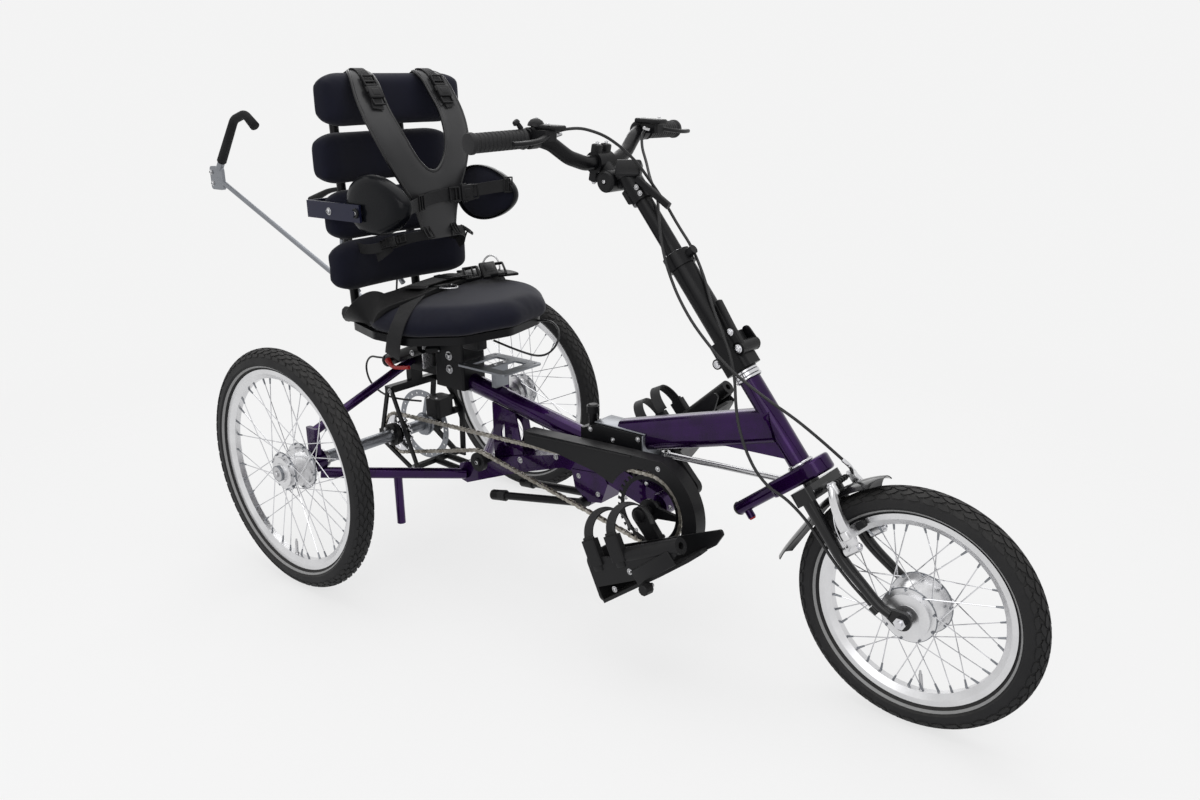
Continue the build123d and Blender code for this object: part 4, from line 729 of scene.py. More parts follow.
def padded(made, part, smooth):
    """Finishes a pad on the frame: evened out, coloured, subdivided once, and standing for its CAD part."""
    bm = bmesh.new()
    bm.from_mesh(made.data)
    for _ in range(smooth):
        bmesh.ops.smooth_vert(bm, verts=bm.verts, factor=0.5, use_axis_x=True, use_axis_y=True, use_axis_z=True)
    bm.to_mesh(made.data)
    bm.free()
    made.data.materials.clear()
    made.data.materials.append(bpy.data.materials["Stretch Knit"])
    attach(made, "frame")
    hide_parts(part)
    round_off = made.modifiers.new("Even", "SUBSURF")
    round_off.levels = round_off.render_levels = 1
    baked(made)
    made.data.shade_smooth()


def roll_shape(solid):
    """Draws a back roll's ends in to a soft round, about the roll's own bowed middle line."""
    heights = [v.co.z for v in solid.verts]
    height = (min(heights) + max(heights)) / 2
    half = max(v.co.y for v in solid.verts)
    ends = [v.co.x for v in solid.verts if abs(v.co.y) > half * 0.97]
    end_x = (min(ends) + max(ends)) / 2
    mid_x = min(v.co.x for v in solid.verts) + 0.022

    def shape(co):
        share = abs(co.y) / half
        line = Vector((mid_x + (end_x - mid_x) * share**2, co.y, height))
        from_end = max(0.0, (share - 0.66) / 0.34)
        size = math.sqrt(max(0.0, 1 - 0.62 * from_end**1.8))
        moved = line + (co - line) * size
        moved.z = height + (co.z - height) * size * 1.1
        moved.y = co.y * 1.005
        return moved

    return shape


def cushion_shape(low, high):
    """A crowned top over a flat foot that tucks in all round."""
    centre = (low + high) / 2
    half = (high - low) / 2

    def shape(co):
        u, v = (co.x - centre.x) / half.x, (co.y - centre.y) / half.y
        out = min(1.0, math.sqrt(u * u + v * v))
        up = (co.z - low.z) / (high.z - low.z)
        tuck = 1.055 - 0.05 * (1 - up) ** 2 - 0.05 * up**3
        crown = (1 - out**2) * 0.004 - out**4 * 0.012
        x = centre.x + 0.006 + (co.x - centre.x) * tuck
        return Vector((x, centre.y + (co.y - centre.y) * tuck, co.z + crown * up))

    return shape


def make_padding():
    """The four back rolls and the seat cushion."""
    rolls = [
        voxelled(f"back_roll_{number}", solid, roll_shape(solid), size=5)
        for number, solid in enumerate(solids("back_rolls"), 1)
    ]
    low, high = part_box("seat_cushion")
    cushion = voxelled("seat_pad", solids("seat_cushion")[0], cushion_shape(low, high), size=6)
    plump({**{made: 2.5 for made in rolls}, cushion: 9.0})
    for vert in cushion.data.vertices:
        vert.co.z = min(max(vert.co.z, low.z), high.z + 0.004)
    for made in rolls:
        padded(made, "back_rolls", smooth=10)
    padded(cushion, "seat_cushion", smooth=16)


PAD_HALF = (90, 57)  # a rib pad's half length and half height


def pad_taper(ahead):
    """A rib pad's height, as a share, at metres ahead of its middle."""
    return 1 - 0.2 * ahead / (PAD_HALF[0] / 1000)


def pad_shape(centre, inner, outer):
    """A rib pad domed towards the rider, its rim drawn in to the moulded back."""

    def shape(co):
        ahead, above = co.x - centre.x, co.z - centre.z
        depth = (co.y - inner) / (outer - inner)
        r = min(1.0, math.hypot(ahead / PAD_HALF[0], above / PAD_HALF[1]) * 1000)
        y = inner + (outer - inner) * (0.05 + 0.6 * depth + 0.34 * (1 - depth) * r**2)
        return Vector((centre.x + ahead * 0.955, y, centre.z + above * 0.955 * pad_taper(ahead)))

    return shape


def make_lateral_pads():
    """The two pads at the rider's ribs, each with its moulded back."""
    centre = at(106, 0, 762)
    soft = {}
    pads = sorted(solids("lateral_pads"), key=lambda bm: sum(v.co.y for v in bm.verts))
    for (_, name), solid in zip(SIDES, pads):
        across = sorted((v.co.y for v in solid.verts), key=abs)
        made = voxelled(f"rib_pad_{name}", solid, pad_shape(centre, across[0], across[-1]), size=4)
        soft[made] = 5.0
    plump(soft)
    for made in soft:
        padded(made, "lateral_pads", smooth=6)
    section = [(0, 7.6), (0.55, 7.2), (0.74, 6.0), (0.86, 3.2), (0.94, -1.2), (0.985, -7), (1.0, -13)]
    section += [(1.005, -17), (0.99, -20), (0.97, -20.4), (0.955, -18), (0.95, -9)]
    for side, name in SIDES:
        bm = bmesh.new()
        turned(bm, [(r * PAD_HALF[0], h) for r, h in section], Matrix(), 64)
        for vert in bm.verts:
            vert.co.y *= PAD_HALF[1] / PAD_HALF[0] * pad_taper(vert.co.x)
        turn = Matrix(((1, 0, 0), (0, 0, side), (0, 1, 0)))
        out = Matrix.Translation(centre + LEFT * side * 0.157)
        bmesh.ops.transform(bm, matrix=out @ turn.to_4x4(), verts=bm.verts)
        outward(bm)
        backing = piece(f"rib_backing_{name}", bm, "Pad Back", "frame", 50)
        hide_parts("lateral_pads")


# ---------------------------------------------------------------- harness and belts
VEST_LINE = route(
    at, (114, 0, 684), (112, 0, 730), (110, 0, 770), (106, 0, 817), (97, 0, 868), (80, 0, 905),
    (60, 0, 938), (37, 0, 969), (19, 0, 999), (2, 0, 1009), (-16, 0, 1011),
)


def surface(name):
    """A finished piece's height below a place, for laying webbing on it."""
    made = bpy.data.objects[name]
    bpy.context.view_layer.update()

    def height(x, y, lift):
        hit, place, _, _ = made.ray_cast(Vector((x, y, 3.0)), Vector((0, 0, -1)))
        return place + Vector((0, 0, lift / 1000)) if hit else None

    return height


def walk(line):
    """A function from a distance in millimetres along a line to its point and direction."""
    run = [s * 1000 for s in distances(line)]

    def place(s):
        s = min(max(s, 0.0), run[-1] - 1e-6)
        i = max(k for k in range(len(run) - 1) if run[k] <= s)
        share = (s - run[i]) / (run[i + 1] - run[i])
        return line[i].lerp(line[i + 1], share), (line[i + 1] - line[i]).normalized()

    return place


def vest_outline():
    """The vest's edge as (across, up from its foot) pairs: outer edge up, shoulder, neckline, and down again."""
    outer = [(40, 0), (45, 30), (51, 56), (61, 80), (75, 104), (92, 133), (108, 168), (119, 200), (126, 234)]
    outer += [(129, 267), (127, 302), (120, 336), (110, 358), (100, 373)]
    neck = [(62, 374), (59, 340), (62, 302), (65, 267), (62, 242), (57, 216), (49, 187), (39, 164), (25, 146)]
    neck += [(12, 135), (0, 132)]
    outer, neck = ([Vector((x, y, 0)) for x, y in edge] for edge in (outer, neck))
    shoulder = [outer[-1], (outer[-1] + neck[0]) / 2 + Vector((0, 3, 0)), neck[0]]
    loop = [(p.x, p.y) for p in path_of(outer) + path_of(shoulder)[1:] + path_of(neck)[1:]]
    return loop + [(-x, y) for x, y in reversed(loop[:-1])]


def vest_place(place, x, y, out=0.0):
    """A point of the vest at a distance across and up it, bent round the rider's chest."""
    point, way = place(y)
    normal = Vector((way.z, 0, -way.x))
    wrap = (x / 100) ** 2 * 13 * max(0.0, 1 - y / 330)
    return point + LEFT * x / 1000 + normal * (out - wrap) / 1000


def sliced(bm, cuts, across):
    """Cuts a flat sheet at every distance along an axis."""
    for cut in cuts:
        bmesh.ops.bisect_plane(
            bm, geom=bm.verts[:] + bm.edges[:] + bm.faces[:], plane_co=Vector(across) * cut, plane_no=across
        )


def doubled(bm):
    """Extrudes a sheet on to itself and returns the corners of its new face."""
    return set(verts_in(bmesh.ops.extrude_face_region(bm, geom=bm.faces[:])["geom"]))


def make_vest(piping):
    """The padded vest: a sheet crowned on both faces, with piping round its edge."""
    outline = vest_outline()
    place = walk(path_of(VEST_LINE))
    bm = bmesh.new()
    bm.faces.new([bm.verts.new((x, y, 0)) for x, y in outline])
    sliced(bm, range(-128, 129, 8), (1, 0, 0))
    sliced(bm, range(6, 374, 8), (0, 1, 0))
    rim = [Vector(corner) for corner in outline]
    front = doubled(bm)
    for vert in bm.verts:
        x, y = vert.co.xy
        near = min((vert.co.xy - edge).length for edge in rim)
        crown = 1.4 + 2.6 * min(1.0, near / 12) ** 0.6
        vert.co = vest_place(place, x, y, crown if vert in front else -crown)
    outward(bm)
    vest = piece("vest", bm, "Vest Vinyl", "frame", 60)
    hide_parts("harness")
    edge = [vest_place(place, x, y) for x, y in outline[::6]]
    tube("vest_piping", edge, piping, "Piping", "frame", closed=True)
    return place


def buckle_parts(bm, place, width=25.0, scale=1.0):
    """A side-release buckle along the place's X, lying on its XY plane."""
    w = width / scale

    def block(size, x, y, z, edge, segments=2):
        spot = shifted(place, x * scale, y * scale, z * scale)
        box(bm, Vector(size) * scale, spot, edge * scale, segments)

    block((26, w + 8, 8), 8, 0, 4.5, 2.2, 3)
    block((15, w - 6, 9.6), 9, 0, 4.6, 2.0, 3)
    for side in (-1, 1):
        block((12, 4.4, 5.6), 2, side * (w / 2 + 4.4), 4.4, 1.8, 3)
        for x, length in ((-20, 24), (27, 13)):
            block((length, 3.4 if x < 0 else 3.2, 5), x, side * (w / 2 + 1.2), 3.4, 1.3)
    block((5, w + 3, 5), -8.5, 0, 3.6, 1.4)
    for x in (-17, -30, 33.5):
        block((3.4, w + 4, 4.2), x, 0, 3.4, 1.3)


def slider_parts(bm, place, width=25.0):
    """A three-bar slide along the place's X."""
    for x in (-8, 0, 8):
        box(bm, (3, width + 5, 3.4), shifted(place, x, 0, 2), 1.2)
    for side in (-1, 1):
        box(bm, (19, 3, 3.8), shifted(place, 0, side * (width / 2 + 2.5), 2), 1.2)


def on_way(point, way, normal):
    """A place at a point whose X runs along a strap and whose Z leaves it."""
    x = Vector(way).normalized()
    z = (Vector(normal) - x * Vector(normal).dot(x)).normalized()
    return Matrix.Translation(point) @ Matrix((x, z.cross(x), z)).transposed().to_4x4()


def d_ring(name, place, width, reach):
    """A bent wire ring: straight where its strap holds it and round beyond."""
    half = width / 2000
    turns = (0.35, 0.8, 1.2, 1.57, 1.94, 2.34, 2.79)
    points = [Vector((0, -half, 0)), Vector((0, half, 0))]
    points += [Vector((reach / 1000 * math.sin(a), half * 1.05 * math.cos(a), 0)) for a in turns]
    tube(name, [place @ p for p in points], 2.0, "Zinc", "frame", closed=True)


def make_harness(width, piping):
    """The vest with its shoulder, chest and waist straps and their buckles."""
    place = make_vest(piping)
    on_roll = surface("back_roll_4")
    routes, buckles = [], bmesh.new()

    def on_vest(side, *places):
        return [vest_place(place, side * x, y, out) for x, y, out in places]

    for side, _ in SIDES:
        hits = [on_roll(*at(x, side * 84, 0).xy, lift=3.4) for x in range(-74, -14, 10)]
        crest = [hit for hit in hits if hit and hit.z > 0.985]
        behind = [crest[0] + Vector(step) / 1000 for step in ((-16, 0, -80), (-16, 0, -44), (-11, 0, -14))]
        front = on_vest(side, (84, 368, 7), (86, 350, 7), (88, 326, 7), (89, 306, 7), (89, 290, 7))
        tail = on_vest(side, (88, 314, 12), (89, 298, 13), (91, 278, 9), (94, 262, 8))
        routes += [(behind + crest + front, width, LEFT), (tail, width, LEFT)]
        buckle_parts(buckles, on_way(*on_vest(side, (88, 304, 8)), -place(304)[1], (0.8, 0, 0.5)))
    right_chest = route(at, (176, -150, 750), (158, -122, 752), (134, -84, 756), (122, -50, 760))
    left_chest = route(at, (124, 50, 770), (136, 84, 774), (160, 118, 779), (183, 142, 783))
    routes.append((right_chest + on_vest(1, (-20, 82, 8), (20, 85, 8)) + left_chest, width, (0, 0, 1)))
    buckle_parts(buckles, on_way(at(127, 56, 770), (0.28, 1, 0.05), (1, -0.28, 0)))
    slider_parts(buckles, on_way(at(124, -54, 760), (-0.25, 1, 0.05), (1, 0.25, 0)))
    slider_parts(buckles, on_way(at(180, 137, 783), (0.75, 0.8, 0), (0.8, -0.7, 0)))
    for side, _ in SIDES:
        waist = [(108, 62, 694), (80, 104, 679), (40, 124, 668), (0, 122, 668), (-44, 112, 672)]
        loose = [(80, 104, 675), (64, 112, 662), (44, 110, 652)]
        waist, loose = ([at(x, side * y, z) for x, y, z in places] for places in (waist, loose))
        routes += [(on_vest(side, (30, 10, 6)) + waist, 20, (0.1, 0, 1)), (loose, 20, (0.5, 0, 0.8))]
        buckle = on_way(at(86, side * 98, 684), (-0.5, side * 0.6, -0.22), (0.4, side * 0.4, 0.8))
        buckle_parts(buckles, buckle, 20, 0.8)
        slider_parts(buckles, on_way(*on_vest(side, (36, 14, 8)), (-0.1, side, -0.1), AHEAD), 20)
    strap("harness_straps", routes)
    piece("harness_buckles", buckles, "Moulded Plastic", "frame")


BELT = ((140, -140), (116, -84), (95, -21), (78, 40), (65, 91), (57, 150))
BELT_FLAP = ((64, 96), (76, 138), (104, 160), (140, 156), (168, 140))
BELT_OVER = ((124, -96), (102, -22), (92, 40), (104, 84), (134, 112), (162, 136))


def make_lap_belt(width):
    """The padded lap belt across the cushion, with its buckle, rings and side strap."""
    height = surface("seat_pad")

    def lay(points, lift):
        found = [(height(*at(x, y, 0).xy, lift=lift), x, y) for x, y in points]
        return [point or at(x, y, 570) for point, x, y in found]

    near_end = route(at, (-34, -112, 512), (10, -152, 524), (66, -184, 545), (116, -178, 576))
    far_end = route(at, (70, 186, 574), (66, 200, 540), (40, 184, 514), (0, 150, 506))
    bm = bmesh.new()
    line = path_of([*near_end, *lay(BELT, 6.5), *far_end])
    ribbon(bm, line, width, 11, across=(1, 0.1, 0), taper=lambda t: 0.5 + 0.5 * min(1, min(t, 1 - t) / 0.24))
    ribbon(bm, path_of(lay(BELT_FLAP, 14)), width * 0.6, 6, across=lambda t: Vector((1 - t, -t, 0)))
    belt = piece("belt_pad", bm, "Belt Pad", "frame", 50)
    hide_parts("lap_belt")
    rimmed(belt, 2.2, 3)
    side = [*lay(((118, -66), (150, -104)), 8), *lay(((182, -150),), 4)]
    side += route(at, (202, -190, 560), (194, -200, 530), (182, -197, 500), (170, -190, 482))
    strap("belt_straps", [(lay(BELT_OVER, 18), 38, (0.8, -0.6, 0)), (side, 34, (1, 0.1, 0))], thick=2.2)
    buckles = bmesh.new()
    middle, near_slide, side_slide = lay(((128, 104), (99, 18), (140, -92)), 19)
    buckle_parts(buckles, on_way(middle, (0.55, 0.8, 0.1), (0.35, -0.25, 1)), 38, 1.35)
    slider_parts(buckles, on_way(near_slide, (-0.1, 1, 0), (0, 0, 1)), 38)
    slider_parts(buckles, on_way(side_slide, (0.5, -0.8, 0), (0, 0, 1)), 34)
    piece("belt_buckles", buckles, "Moulded Plastic", "frame")
    near_ring, far_ring = lay(((140, -20), (92, 160)), 12)
    d_ring("belt_ring_near", on_way(near_ring, (1, 0.1, -0.02), (0, 0, 1)), 38, 32)
    d_ring("belt_ring_far", on_way(far_ring + Vector((0, 0, 0.008)), (-0.1, 0.2, 0.9), (0.6, -0.8, 0.2)), 40, 34)
    for number, spot in enumerate((near_ring, far_ring + Vector((0, 0, 0.003))), 1):
        tab = [spot + Vector(step) / 1000 for step in ((-34, 0, -3), (-12, 0, 0), (4, 0, 2))]
        strap(f"belt_ring_tab_{number}", [(tab, 30, LEFT)], thick=3.0)


# ---------------------------------------------------------------- wheels
SPOKES = 36
WHEELS = (  # name, body, rim radius, two spoke flanges as (radius, offset to the left), lean, valve's angle, pitches
    ("rear_right", "rear_wheel_right", 209.0, ((38.5, -14.0), (47.0, 26.0)), 6, -93.5, 64),
    ("rear_left", "rear_wheel_left", 209.0, ((38.5, 14.0), (47.0, -26.0)), 6, -60.0, 64),
    ("front", "front_wheel", 158.7, ((44.0, -27.0), (50.0, 21.0)), 4, -81.0, 50),
)
CROWN = 17.4  # from the rim's radius to the middle of the tread's own curve
TREAD_HALF = 23.5


def tyre_section(rim, groove):
    """Half a tyre's section as (radius, distance from its middle), from inside the rim to the tread's floor."""
    crown = rim + CROWN
    wall = [(rim - 4, 9.4), (rim + 0.6, 11.2), (rim + 3.4, 13.6), (rim + 7.5, 18.6), (crown - 5, 22.4)]
    floor = TREAD_HALF - groove
    turns = [math.radians(86 - 12.3 * i) for i in range(7)]
    return wall + [(crown + floor * math.cos(a), floor * math.sin(a)) for a in turns] + [(crown + floor, 0)]


TREAD_BLOCKS = (  # blocks over one pitch: (along, across) corners as shares of the pitch and of the tread's half width
    ((0.04, -0.06), (0.3, -0.17), (0.66, -0.1), (0.92, 0.04), (0.66, 0.17), (0.3, 0.1)),
    ((0.54, 0.22), (0.8, 0.12), (1.16, 0.18), (1.42, 0.32), (1.16, 0.45), (0.8, 0.39)),
    ((0.54, -0.22), (0.8, -0.39), (1.16, -0.45), (1.42, -0.32), (1.16, -0.18), (0.8, -0.12)),
    ((0.04, 0.5), (0.3, 0.43), (0.66, 0.5), (0.92, 0.64), (0.66, 0.76), (0.3, 0.68)),
    ((0.04, -0.64), (0.3, -0.76), (0.66, -0.68), (0.92, -0.5), (0.66, -0.43), (0.3, -0.5)),
    ((0.54, 0.74), (0.84, 0.8), (1.14, 0.76), (1.4, 0.98), (1.0, 1.05), (0.6, 1.0)),
    ((0.54, -0.74), (0.6, -1.0), (1.0, -1.05), (1.4, -0.98), (1.14, -0.76), (0.84, -0.8)),
)


def make_tread(bm, place, rim, pitches):
    """Low diamond blocks wrapped round a tyre."""
    crown = rim + CROWN
    pitch = math.tau * (crown + TREAD_HALF) / pitches
    reach = math.radians(64) * TREAD_HALF
    one = bmesh.new()
    for block in TREAD_BLOCKS:
        one.faces.new([one.verts.new((along * pitch, across * reach, 0)) for along, across in block])
    sliced(one, range(-21, 28, 6), (0, 1, 0))
    top = doubled(one)
    for vert in one.verts:
        angle = vert.co.x / (crown + TREAD_HALF)
        lean = vert.co.y / TREAD_HALF
        out = TREAD_HALF - (0.15 if vert in top else 2.4)
        radius = crown + out * math.cos(lean)
        vert.co = Vector((radius * math.cos(angle), radius * math.sin(angle), out * math.sin(lean))) / 1000
    outward(one)
    shape = meshed("tread", one)
    for i in range(pitches):
        before = set(bm.verts)
        bm.from_mesh(shape)
        made = [v for v in bm.verts if v not in before]
        bmesh.ops.transform(bm, matrix=place @ Matrix.Rotation(math.tau * i / pitches, 4, "Z"), verts=made)
    bpy.data.meshes.remove(shape)


def round_axle(turn, radius, y=0.0):
    """A step from a wheel's or the crank's centre, in millimetres, the turn measured from straight ahead."""
    return Vector((radius * math.cos(turn), y, radius * math.sin(turn))) / 1000


def make_wheel(groove, name, body, rim, flanges, lean, valve, pitches):
    """A tyre with its tread and reflective rings, the spokes' nipples and heads, and the valve."""
    centre = middle_of(f"{name}_tyre")
    place = placed(centre, LEFT)
    half = tyre_section(rim, groove)
    bm = bmesh.new()
    outline = [(r, -y) for r, y in half] + [(r, y) for r, y in reversed(half[:-1])]
    turned(bm, looped(outline), place, 96)
    make_tread(bm, place, rim, pitches)
    tyre = piece(f"{name}_tread", bm, "Tyre Rubber", body, 28)
    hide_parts(f"{name}_tyre")
    band = [(5.0, 15.8), (8.4, 19.6), (8.1, 20.1), (4.7, 16.3)]
    bands = [looped([(rim + r, side * y) for r, y in band]) for side, _ in SIDES]
    build(f"{name}_reflective_rings", "Reflective Band", body, *[(turned, section, place, 96) for section in bands])
    bm = bmesh.new()
    for i in range(SPOKES):
        flange, offset = flanges[i % 2]
        side = math.copysign(1, offset)
        leading = 1 if (i // 2) % 2 else -1
        turn, at_rim = math.tau * (i + lean * leading) / SPOKES, math.tau * i / SPOKES
        foot = centre + round_axle(turn, flange - 1.8, offset + side * 3.4 * leading)
        tip = centre + round_axle(at_rim, rim - 19.6, side * 2)
        way = (tip - foot).normalized()
        rod(bm, tip + way * 0.0015, tip - way * 0.012, 2.1, 1.5, 8)
        rod(bm, foot - way * 0.0012, foot + way * 0.0022, 2.1, 1.6, 6)
    for flange, offset in flanges:
        ring(bm, flange, 1.6, shifted(place, 0, 0, offset), 48, 6)
    piece(f"{name}_nipples", bm, "Grey Steel", body)
    inner = centre + round_axle(math.radians(valve), rim - 16)
    way = (centre - inner).normalized()
    build(
        f"{name}_valve", "Zinc", body,
        (rod, inner, inner + way * 0.005, 5.2, 4.2, 12, 0.6),
        (rod, inner, inner + way * 0.03, 3.1, None, 12, 0.5),
        (rod, inner + way * 0.03, inner + way * 0.036, 2.2, 1.8, 12),
    )


def make_hub_ends():
    """The bright caps outside the two rear hubs; the right one turns with its wheel."""
    profile = [(0, 5.5), (5, 5.5), (6.5, 4), (6.5, 1), (12, 1), (14.5, 0), (14.5, -1), (0, -1)]
    for (side, name), body in zip(SIDES, ("rear_wheel_right", "frame")):
        build(f"rear_{name}_hub_end", "Zinc", body, (turned, profile, placed(at(0, side * 364, 250), LEFT * side), 32))


# ---------------------------------------------------------------- chain and small hardware
CHAIN_Y = -56.0
CHAIN_PLATE = (4.1, 2.9, 0.9)  # a plate's end radius, half its waist and its thickness
CHAIN_PULLEYS = (((0.0, 250.0), 44.62), ((693.0, 254.0), 68.82), ((255.0, 242.0), -24.6))


def leaving(first, second):
    """Ends of the straight run from one pulley to the next; a negative radius is passed on its other side."""
    (x1, z1), r1 = first
    (x2, z2), r2 = second
    heading = math.atan2(z2 - z1, x2 - x1) - math.asin((r1 - r2) / math.hypot(x2 - x1, z2 - z1))
    nx, nz = -math.sin(heading), math.cos(heading)
    return Vector((x1 + nx * r1, z1 + nz * r1)), Vector((x2 + nx * r2, z2 + nz * r2))


def chain_line():
    """The chain's pitch line as close points, from the sprocket over the chainring and the idler."""
    following = (*CHAIN_PULLEYS[1:], CHAIN_PULLEYS[0])
    runs = [leaving(*pair) for pair in zip(CHAIN_PULLEYS, following)]
    points = []
    for (start, end), (centre, radius), (leave, _) in zip(runs, following, [*runs[1:], runs[0]]):
        points += [start.lerp(end, k / 400) for k in range(400)]
        sense = -1 if radius > 0 else 1
        a = math.atan2(end.y - centre[1], end.x - centre[0])
        b = math.atan2(leave.y - centre[1], leave.x - centre[0])
        turn = (sense * (b - a)) % math.tau
        turns = [a + sense * turn * k / 120 for k in range(120)]
        points += [Vector(centre) + Vector((math.cos(t), math.sin(t))) * abs(radius) for t in turns]
    return looped(points)


def link_outline(pitch):
    """A chain plate's waisted figure of eight."""
    radius, waist, _ = CHAIN_PLATE
    outline = []
    for end in (1, -1):
        for part in (-1.15, -0.4, 0.4, 1.15):
            angle = part + (0 if end > 0 else math.pi)
            outline.append((end * pitch / 2 + radius * math.cos(angle), radius * math.sin(angle)))
        outline.append((0, end * waist))
    return outline


def make_chain(pitch):
    """Rollers and alternating inner and outer plates, pin to pin along the pitch line."""
    line = chain_line()
    run = distances(line)
    count = 2 * round(run[-1] / pitch / 2)
    pins, k = [], 0
    for i in range(count):
        s = run[-1] * i / count
        while run[k + 1] < s:
            k += 1
        pins.append(line[k].lerp(line[k + 1], (s - run[k]) / (run[k + 1] - run[k])))
    outline, thick = link_outline(pitch), CHAIN_PLATE[2]
    bm = bmesh.new()
    for i, (pin, following) in enumerate(zip(pins, [*pins[1:], pins[0]])):
        middle = (pin + following) / 2
        along = (following - pin).normalized()
        place = on_way(at(middle.x, CHAIN_Y, middle.y), (along.x, 0, along.y), (0, -1, 0))
        for side, _ in SIDES:
            start = side * (1.9 if i % 2 else 2.9)
            plate(bm, outline, thick, shifted(place, 0, 0, min(start, start + side * thick)))
        for reach, radius, sides in ((4.2, 1.9, 8), (1.8, 3.8, 10)):
            rod(bm, at(pin.x, CHAIN_Y - reach, pin.y), at(pin.x, CHAIN_Y + reach, pin.y), radius, None, sides)
    chain = piece("chain_links", bm, "Chain Steel", "frame", 40)
    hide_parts("chain")


def bolt(bm, point, way, radius=4.0, height=3.4, washer=True):
    """A socket screw's head, domed, over a thin washer."""
    h, r = height, radius
    profile = [(0, h * 0.35), (r * 0.45, h * 0.35), (r * 0.52, h), (r * 0.72, h * 0.96), (r * 0.94, h * 0.66)]
    profile += [(r, h * 0.2), (r, 0)]
    if washer:
        profile += [(r * 1.45, 0), (r * 1.45, -0.8)]
    turned(bm, [*profile, (0, -0.8)], placed(point, way), 18)


def nut(bm, point, way):
    """A six-sided nut with its corners turned down, and the bolt's end in it."""
    r, h = 6.0, 5.0
    profile = [(0, 0), (r, 0), (r, h * 0.86), (r * 0.86, h), (r * 0.5, h), (r * 0.5, h + 1.6), (0, h + 1.6)]
    turned(bm, profile, placed(point, way), 6)


POST_SPLIT = 402.0  # where the steering post's upper tube leaves the lower, along the steering axis
SIDE_BOLTS = (  # ahead, to the left, up, head radius; each faces away from the middle
    (122, -32.4, 478, 3.6), (182, -32.4, 478, 3.6), (122, -32.4, 452, 3.0), (86, -73.3, 450, 4.2),
    (255, -61.4, 242, 5.4), (440, -24.4, 286, 4.0), (722, -72.2, 345, 3.4), (8, -78.4, 353, 4.0),
    (-34, -78.4, 236, 3.6), (70, -78.4, 190, 3.6), (-12, -83.4, 262, 3.2), (12, -83.4, 262, 3.2),
    (0, -83.4, 234, 3.2), (500, -26.4, 262, 3.6), (548, -26.4, 236, 3.6), (255, 24.4, 242, 5.0),
    (-740, -4.2, 778, 4.6), (-738, -4.2, 750, 4.6),
)
PAIRED_BOLTS = (  # the same, on both sides
    (-17, 172.2, 746, 5.2), (70, 172.2, 748, 5.2), (154, 32.4, 446, 6.6), (154, 32.4, 417, 6.6),
    (342, 24.4, 256, 4.6), (534, 29.6, 366, 3.6), (588, 29.6, 356, 3.6), (646, 29.6, 370, 3.6),
)
UPRIGHT_BOLTS = (  # ahead, to the left, up, head radius, up or down
    (270, 12, 442.2, 3.4, 1), (270, -12, 442.2, 3.4, 1), (46, -3, 326, 3.4, 1), (66, 2, 326, 3.4, 1),
    (62, -120, 492, 4.0, -1), (94, -120, 492, 4.0, -1), (62, 120, 492, 4.0, -1), (94, 120, 492, 4.0, -1),
)
STEER_BOLTS = (  # along the steering axis, ahead, to the left, head radius
    (206, 28, -26.2, 5.0), (206, 28, 26.2, 5.0), (206, -30, -17.2, 4.6), (206, -30, 17.2, 4.6), (236, 31, -26.2, 4.2),
)
HEADSET_RINGS = ((157.2, 161.5, 23.0), (162.2, 168.5, 22.2), (169.2, 173.5, 21.6), (-4.9, -1.0, 22.6))


def side_bolt(bm, point, radius, dome):
    """A screw that faces away from the middle, its height a share of its radius."""
    bolt(bm, point, (0, math.copysign(1, point.y), 0), radius, radius * dome)


def make_hardware():
    """Screws, nuts, washers and bright rings on the frame and the steering."""
    bm = bmesh.new()
    pairs = [(x, side * y, z, radius) for x, y, z, radius in PAIRED_BOLTS for side, _ in SIDES]
    for x, y, z, radius in (*SIDE_BOLTS, *pairs):
        side_bolt(bm, at(x, y, z), radius, 0.8)
    for x, y, z, radius, way in UPRIGHT_BOLTS:
        bolt(bm, at(x, y, z), (0, 0, way), radius, radius * 0.8)
    collar = looped([(19, -6), (19.6, -2), (19.6, 2), (19, 6), (13.6, 6), (13.6, -6)])
    for side, _ in SIDES:
        turned(bm, collar, placed(at(0, side * 256, 250), LEFT), 32)
    piece("frame_bolts", bm, "Zinc", "frame")
    bm = bmesh.new()
    for along, ahead, y, radius in STEER_BOLTS:
        side_bolt(bm, steer(along, ahead, y), radius, 0.7)
    for low, high, radius in HEADSET_RINGS:
        rod(bm, steer(low), steer(high), radius, None, 40, 0.8)
    for side, _ in SIDES:
        out = LEFT * side
        bolt(bm, steer(-156, 46, side * 45), AHEAD, 5.2, 4.4)
        nut(bm, steer(-132, 43, side * 53.5), out)
        bolt(bm, steer(-56, 52, side * 38), out, 4.2, 3.6)
        bolt(bm, steer(-50, 22, side * 46), out, 3.4, 2.8)
    rod(bm, steer(POST_SPLIT - 4), steer(POST_SPLIT + 1.6), 23.0, 20.0, 32, 0.8)
    piece("steering_bolts", bm, "Chrome", "steering")


BRAKE_ARM = ((-160, 38, 45), (-138, 43, 52), (-112, 46, 55), (-86, 49, 51), (-66, 51, 41), (-52, 52, 31))
BRAKE_SPRING = ((-156, 30, 55), (-130, 30, 58), (-100, 36, 55), (-86, 44, 47))
BRAKE_NOODLE = ((-30, 78, -9), (-42, 80, -3), (-54, 72, 9), (-56, 56, 24), (-56, 53, 34))


def mirrored(places, side):
    """Places with their third measure, which is to the left of the steering axis, taken to a side."""
    return [(along, ahead, side * y) for along, ahead, y in places]


